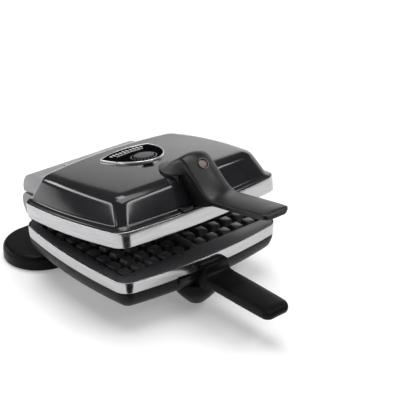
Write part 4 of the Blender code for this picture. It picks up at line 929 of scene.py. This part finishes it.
screws = {
    # the pan head at unit radius: radius and height
    "head": ((0.97, 0.0), (1.0, 0.06), (1.0, 0.22), (0.93, 0.40), (0.76, 0.54), (0.45, 0.62), (0.12, 0.64)),
    # the cross: half length, half width, and (share, height) at its bottom and top
    "cross": (0.52, 0.10), "taper": ((0.7, 0.28), (1.06, 0.8)), "firstTurn": 0.7, "nextTurn": 1.3,
    # body, way the heads face, names
    "groups": {
        "baseScrews": ("base", (0, 0, -1), [
            "bottom_cover_screw_1", "bottom_cover_screw_2", "bottom_cover_screw_3", "bottom_cover_screw_4",
            "stand_screw_1", "stand_screw_2", "lower_handle_screw_1", "lower_handle_screw_2"]),
        "gripScrews": ("lid", (0, 0, -1), ["upper_handle_screw_1", "upper_handle_screw_2"]),
        "hingeScrews": ("lid", (0, 0, 1), ["hinge_block_screw_1", "hinge_block_screw_2"]),
    },
}


def screwHead():
    # a pan head with a cross recess
    head = scratchObject("screwHead", loft(turned(screws["head"], steps=28)))
    length, width = screws["cross"]
    tools = []
    for x, y in ((length, width), (width, length)):
        outline = [(-x, -y), (x, -y), (x, y), (-x, y)]
        tools.append(scratchObject("recess", loft([[(a * share, b * share, z) for a, b in outline]
                                                   for share, z in screws["taper"]])))
    return cutWith(head, tools)


def makeScrews():
    # every screw head sits where its CAD node is, turned a little further than the last
    for name, (bodyName, aim, nodes) in screws["groups"].items():
        seats = []
        back = toRow[bodyName].inverted()
        for number, node in enumerate(nodes):
            points = [back @ vert.co for vert in frame["nodes"][node].data.vertices]
            low = [min(p[i] for p in points) for i in range(3)]
            high = [max(p[i] for p in points) for i in range(3)]
            seat = ((low[0] + high[0]) / 2, (low[1] + high[1]) / 2, high[2] if aim[2] < 0 else low[2])
            radius = (high[0] - low[0]) / 2
            seats.append((seat, aim, (radius,) * 3, screws["firstTurn"] + screws["nextTurn"] * number))
        scatterParts(name, screwHead(), seats, bodyName, "zinc_plated_steel", nodes, None, 30.0)


marks = {
    "dots": 21, "dotGap": 3.4 * mm, "dotStart": -250, "dotSweep": 320, "dotSize": (1.2 * mm, 0.6 * mm),
    "dotEdge": 4 * mm, "relief": 0.6 * mm, "sag": 4.4 * mm, "shortStroke": 0.8,
    # rows of strokes: how many, pitch, distance behind the badge's widest line, width, height in mm
    "strokes": ((10, 5.4, 2.5, 2.4, 7.6), (13, 3.3, -5.6, 1.8, 3.0)),
}


def onBadge(x, y, width, height):
    # a seat on the badge's field for a mark of this size
    return ((x, y, domeTop(x, y) + badge["height"]), (0, 0, 1), (width, height, marks["relief"]), 0.0)


def makeMarks():
    # raised dots round the dial and plain strokes along the badge's back edge
    dot = scratchObject("dot", loft(turned([(0.5, -0.3), (0.5, 0.1), (0.38, 0.18)], steps=10)))
    small, growth = marks["dotSize"]
    reach = dial["radius"] + marks["dotGap"]
    seats = []
    for i in range(marks["dots"]):
        angle = math.radians(marks["dotStart"] + marks["dotSweep"] * i / (marks["dots"] - 1))
        x, y = reach * math.cos(angle), dial["y"] + reach * math.sin(angle)
        size = small + growth * i / marks["dots"]
        if y > badge["wideY"] - badge["length"] + marks["dotEdge"]:
            seats.append(onBadge(x, y, size, size))
    scatterParts("dialDots", dot, seats, "lid", "chrome_trim", (), moreFinishes["ink"], 40.0)
    stroke = scratchObject("stroke", prism(roundedBox(-0.5, 0.5, -0.5, 0.5, 0.18, 2), -0.3, 0.15))
    seats = []
    for count, pitch, back, width, tall in marks["strokes"]:
        for i in range(count):
            x = (i - (count - 1) / 2) * pitch * mm
            y = badge["wideY"] + back * mm - marks["sag"] * (x / badge["halfWidth"]) ** 2
            seats.append(onBadge(x, y, width * mm, tall * (1.0 if i % 3 else marks["shortStroke"]) * mm))
    scatterParts("badgeStrokes", stroke, seats, "lid", "chrome_trim", (), moreFinishes["ink"], 40.0)


# stand, feet and hinge
stand = {
    "y": 138 * mm, "endX": 80 * mm, "radius": 51 * mm, "height": 20 * mm, "pad": 1.5 * mm, "softEdge": 8 * mm,
    # the arm's shoe under the casing and the post under the hinge: half width, y from and to
    "shoe": (55 * mm, (52 * mm, 112 * mm)), "shoeRise": 6 * mm, "shoeGap": 0.3 * mm,
    "post": (50 * mm, (120 * mm, 158 * mm)), "postHeight": (12 * mm, 30 * mm), "armEdge": 2 * mm,
}
foot = {
    "y": -88 * mm,
    # radius and height in mm, from the floor to where the casing rests on it
    "profile": ((11.5, 1.5), (13.0, 2.2), (17.5, 7.0), (23.0, 13.0), (28.5, 20.5), (31.8, 28.0), (33.0, 35.5),
                (32.2, 37.5)),
}


def stadium(half, radius, steps=28):
    # two half circles joined by straight sides
    points = []
    for sign, start in ((1, -90), (-1, 90)):
        end = arc((0, 0), radius, start, start + 180, steps)
        points += [(sign * half + x, stand["y"] + y) for x, y in end]
    return points


def makeRearStand():
    # a long pad-shaped base with the arm that carries the machine
    low, high, soft = stand["pad"], stand["pad"] + stand["height"], stand["softEdge"]
    profile = [(1.2 * mm, low), (0.4 * mm, low + 0.4 * mm), (0.0, low + 1.4 * mm)]
    for i in range(10):
        turn = math.pi / 2 * i / 9
        profile.append((soft * (1 - math.cos(turn)), high - soft * (1 - math.sin(turn))))
    piece = scratchObject("rearStand", loft([
        [(x, y, z) for x, y in stadium(stand["endX"], stand["radius"] - inset)] for inset, z in profile]))
    tools = []
    for name, rise in (("shoe", (low + stand["shoeRise"], body["floor"] - stand["shoeGap"])),
                       ("post", stand["postHeight"])):
        half, along = stand[name]
        tools.append(softenEdges(block(name, (-half, half), along, rise), stand["armEdge"], 3))
    cutWith(piece, tools, "UNION")
    # the stand takes the phenolic with its shine turned down: painted shade
    finishObject(piece, "base", "matte_black_phenolic", ["rear_stand"], 36.0, moreFinishes["shadedCopy"])


def makeFrontFoot():
    # a turned cup under the front of the casing
    keys = [(radius * mm, z * mm) for radius, z in foot["profile"]]
    piece = scratchObject("frontFoot", loft(turned(throughPoints(keys, 4), (0.0, foot["y"], 0.0), steps=96)))
    cutWith(piece, [bodyShape()])
    # the foot takes the phenolic with its shine turned down: painted shade
    finishObject(piece, "base", "matte_black_phenolic", ["front_foot"], 36.0, moreFinishes["shadedCopy"])


carriedOver = {
    # CAD pieces that keep their shape: slot, body and the width of their soft edges
    "upper_handle_base": ("matte_black_phenolic", "lid", 0.6 * mm),
    "upper_hinge_block": ("grey_abs", "lid", 1.0 * mm),
    "lower_hinge_block": ("grey_abs", "base", 1.0 * mm),
    "bottom_cover": ("matte_black_phenolic", "base", 0.4 * mm),
    "upper_plate_latch": ("matte_black_phenolic", "upper_latch", 0.5 * mm),
    "lower_plate_latch": ("matte_black_phenolic", "lower_latch", 0.5 * mm),
    "cord_bush": ("rubber", "base", 0.3 * mm),
}


def makeCarriedOver():
    # the lower hinge block is also drawn back from the arched steel bands
    heights = (body["bandBottom"] - 1 * mm, body["upperTop"] + 1 * mm)
    arch = loft([bodyRing(-casing["fit"], z) for z in heights])
    arches = {"lower_hinge_block": [scratchObject("bandArch", arch)]}
    for node, choices in carriedOver.items():
        fromCad(node, *choices, arches.get(node, ()))
    slots = {row["node"]: row["material_slot"] for row in frame["record"]["subparts"]}
    for node, item in frame["nodes"].items():
        item.data.materials.clear()
        item.data.materials.append(finishes[slots[node]])


# floor, light and camera
studio = {
    "camera": (-0.8714, -1.0809, 0.8090), "target": (0.05545, -0.00703, 0.09986), "lens": 111.3,
    # the floor is lit evenly near by and glows further off, where the lights don't reach
    "floorShade": ("#e9e9ea", "#eeeeef"), "floorReach": 6.0, "floorGlow": (0.26, 1.0), "glowAt": (0.9, 2.6),
    "backdropGlow": 1.02, "backdropShare": 0.99,
    # the dark card by the near corner: nearest and furthest point, half width per distance, turn
    "card": (0.03, 5.0, 0.52), "cardTurn": 14.0, "cardCorner": 0.93,
    # the pale sweep: strength by height, its aim and how wide it is
    "room": 0.10, "sweepGlow": 1.9, "sweepAim": (0.94, 0.34), "sweepSide": (0.60, 0.97),
    "sweepRise": ((0.0, 0.4), (0.05, 0.7), (0.10, 0.8), (0.22, 0.9), (0.38, 0.95), (0.47, 0.0)),
    # name: bearing from the hinge side and height in degrees, distance, (width, height), radiance
    "boxes": {"topBox": (0, 89, 2.3, (2.0, 2.0), 3.2), "keyBox": (12, 62, 2.2, (0.8, 0.8), 4.5),
              "leftStrip": (-38, 16, 2.0, (2.0, 0.30), 6.0), "frontStrip": (146, 46, 2.0, (2.0, 0.36), 6.5),
              "cornerStrip": (-81, 14, 2.0, (0.16, 0.9), 7.0), "nearStrip": (176, 25, 2.2, (0.28, 0.7), 2.5)},
}


def softBox(name, bearing, height, distance, size, radiance):
    # a one-sided panel of even radiance that faces the object
    across, up = math.radians(bearing), math.radians(height)
    aim = Vector((math.sin(across) * math.cos(up), math.cos(across) * math.cos(up), math.sin(up)))
    light = bpy.data.lights.new(name, "AREA")
    light.shape = "RECTANGLE"
    light.size, light.size_y = size
    light.energy = radiance * math.pi * size[0] * size[1]
    item = bpy.data.objects.new(name, light)
    item.location = aim * distance + Vector((0.0, 0.0, 0.1))
    item.rotation_euler = (-aim).to_track_quat("-Z", "Y").to_euler()
    bpy.context.scene.collection.objects.link(item)


def stageSheet(name, meshData, finish, seenBy=""):
    # a piece of the studio; seenBy: "camera" alone, "glossy" rays alone, or all of them
    item = scratchObject(name, meshData)
    item.data.materials.append(finish)
    if seenBy:
        item.visible_camera = seenBy == "camera"
        item.visible_glossy = seenBy == "glossy"
        item.visible_diffuse = False
        item.visible_shadow = False
        item.visible_transmission = False


def flatSheet(corners):
    meshData = bmesh.new()
    meshData.faces.new([meshData.verts.new(corner) for corner in corners])
    return meshData


def makeFloor():
    # pale paper whose glow grows with the distance from the object
    reach = studio["floorReach"]
    paper = makeFinish("paperSweep", studio["floorShade"], (90, 2), Roughness=0.9, Specular_IOR_Level=0.1,
                       Emission_Color=(1.0, 1.0, 1.0, 1.0))
    tree = paper.node_tree
    place = addNode(tree, "ShaderNodeTexCoord").outputs["Object"]
    away = addNode(tree, "ShaderNodeVectorMath", {0: place}, operation="LENGTH").outputs["Value"]
    (near, far), (low, high) = studio["glowAt"], studio["floorGlow"]
    glow = addNode(tree, "ShaderNodeMapRange", {
        "Value": away, "From Min": near, "From Max": far, "To Min": low, "To Max": high}).outputs[0]
    tree.links.new(glow, tree.nodes["Principled BSDF"].inputs["Emission Strength"])
    stageSheet("floor", flatSheet([(x * reach, y * reach, 0.0)
                                   for x, y in ((-1, -1), (1, -1), (1, 1), (-1, 1))]), paper)


def makeBackdrop():
    # a white wall round the room, so that the background stays plain from any side
    reach = studio["floorReach"]
    radius = studio["backdropShare"] * reach
    around = [math.pi * i / 24 for i in range(48)]
    wall = loft([[(radius * math.cos(a), radius * math.sin(a), z) for a in around] for z in (-0.01, reach)])
    paper = makeFinish("backdropPaper", ("#161616", "#1c1c1c"), (90, 2), Roughness=1.0,
                       Emission_Color=(1.0, 1.0, 1.0, 1.0), Emission_Strength=studio["backdropGlow"])
    stageSheet("backdrop", wall, paper, "camera")


def makeCard():
    # a black card low in front of the near corner, seen in the steel only
    near, far, half = studio["card"]
    corner = Vector((-body["halfWidth"], body["front"] + middleY, 0.0)) * studio["cardCorner"]
    corner.z = 1 * mm
    away = Vector((studio["camera"][0], studio["camera"][1], 0.0)).normalized()
    away.rotate(Matrix.Rotation(math.radians(studio["cardTurn"]), 3, "Z"))
    side = Vector((-away.y, away.x, 0.0)) * half
    foam = makeFinish("blackFoam", ("#1c1c1d", "#262627"), (40, 2), Roughness=0.95, Specular_IOR_Level=0.0)
    stageSheet("blackCard", flatSheet([corner + (away + side * share) * reach for reach, share in
                                       ((near, -1), (near, 1), (far, 1), (far, -1))]), foam, "glossy")


def makeRoom():
    # a dim room with a pale sweep low behind the object, brightest near the floor
    world = bpy.data.worlds.new("studio")
    bpy.context.scene.world = world
    world.use_nodes = True
    tree = world.node_tree
    way = addNode(tree, "ShaderNodeTexCoord").outputs["Generated"]
    height = addNode(tree, "ShaderNodeSeparateXYZ", {"Vector": way}).outputs["Z"]
    rise = addNode(tree, "ShaderNodeValToRGB", {"Fac": height})
    stops = rise.color_ramp.elements
    for position, value in studio["sweepRise"]:
        stop = stops[0] if position == 0.0 else stops.new(position)
        stop.position = position
        stop.color = (value, value, value, 1.0)
    stops.remove(stops[len(stops) - 1])
    aim = (*studio["sweepAim"], 0.0)
    facing = addNode(tree, "ShaderNodeVectorMath", {0: way, 1: aim}, operation="DOT_PRODUCT").outputs["Value"]
    edge, full = studio["sweepSide"]
    side = addNode(tree, "ShaderNodeMapRange", {
        "Value": facing, "From Min": edge, "From Max": full, "To Min": 0.0, "To Max": studio["sweepGlow"]},
        interpolation_type="SMOOTHSTEP").outputs[0]
    glow = addNode(tree, "ShaderNodeMath", {0: rise.outputs[0], 1: side}, operation="MULTIPLY").outputs[0]
    total = addNode(tree, "ShaderNodeMath", {0: glow, 1: studio["room"]}, operation="ADD").outputs[0]
    shade = tree.nodes["Background"]
    tree.links.new(total, shade.inputs["Strength"])
    shade.inputs["Color"].default_value = (1.0, 1.0, 1.0, 1.0)


def makeStudio():
    makeFloor()
    makeCard()
    makeBackdrop()
    makeRoom()
    for name, box in studio["boxes"].items():
        softBox(name, *box)
    camera = bpy.data.cameras.new("camera")
    camera.lens = studio["lens"]
    item = bpy.data.objects.new("camera", camera)
    item.location = studio["camera"]
    look = Vector(studio["target"]) - Vector(studio["camera"])
    item.rotation_euler = look.to_track_quat("-Z", "Y").to_euler()
    bpy.context.scene.collection.objects.link(item)
    bpy.context.scene.camera = item
    bpy.context.scene.view_settings.view_transform = "Standard"


makeStudio()
print("studio ready")
makeLowerCasing()
makeBand("lowerBand", body["bandBottom"], body["bandTop"], "base", "lower_steel_band")
makeBand("upperBand", body["upperBottom"], body["upperTop"], "lid", "upper_steel_band")
print("casing and bands made")
makePlates()
print("cooking plates made")
makeLidCasing()
makeUpperHandle()
makeLamp()
makeLowerHandle()
print("lid and handles made")
makeBadge()
makeDial()
makeMarks()
makeScrews()
makeRearStand()
makeFrontFoot()
makeCarriedOver()
print("badge, stand, feet and small pieces made")
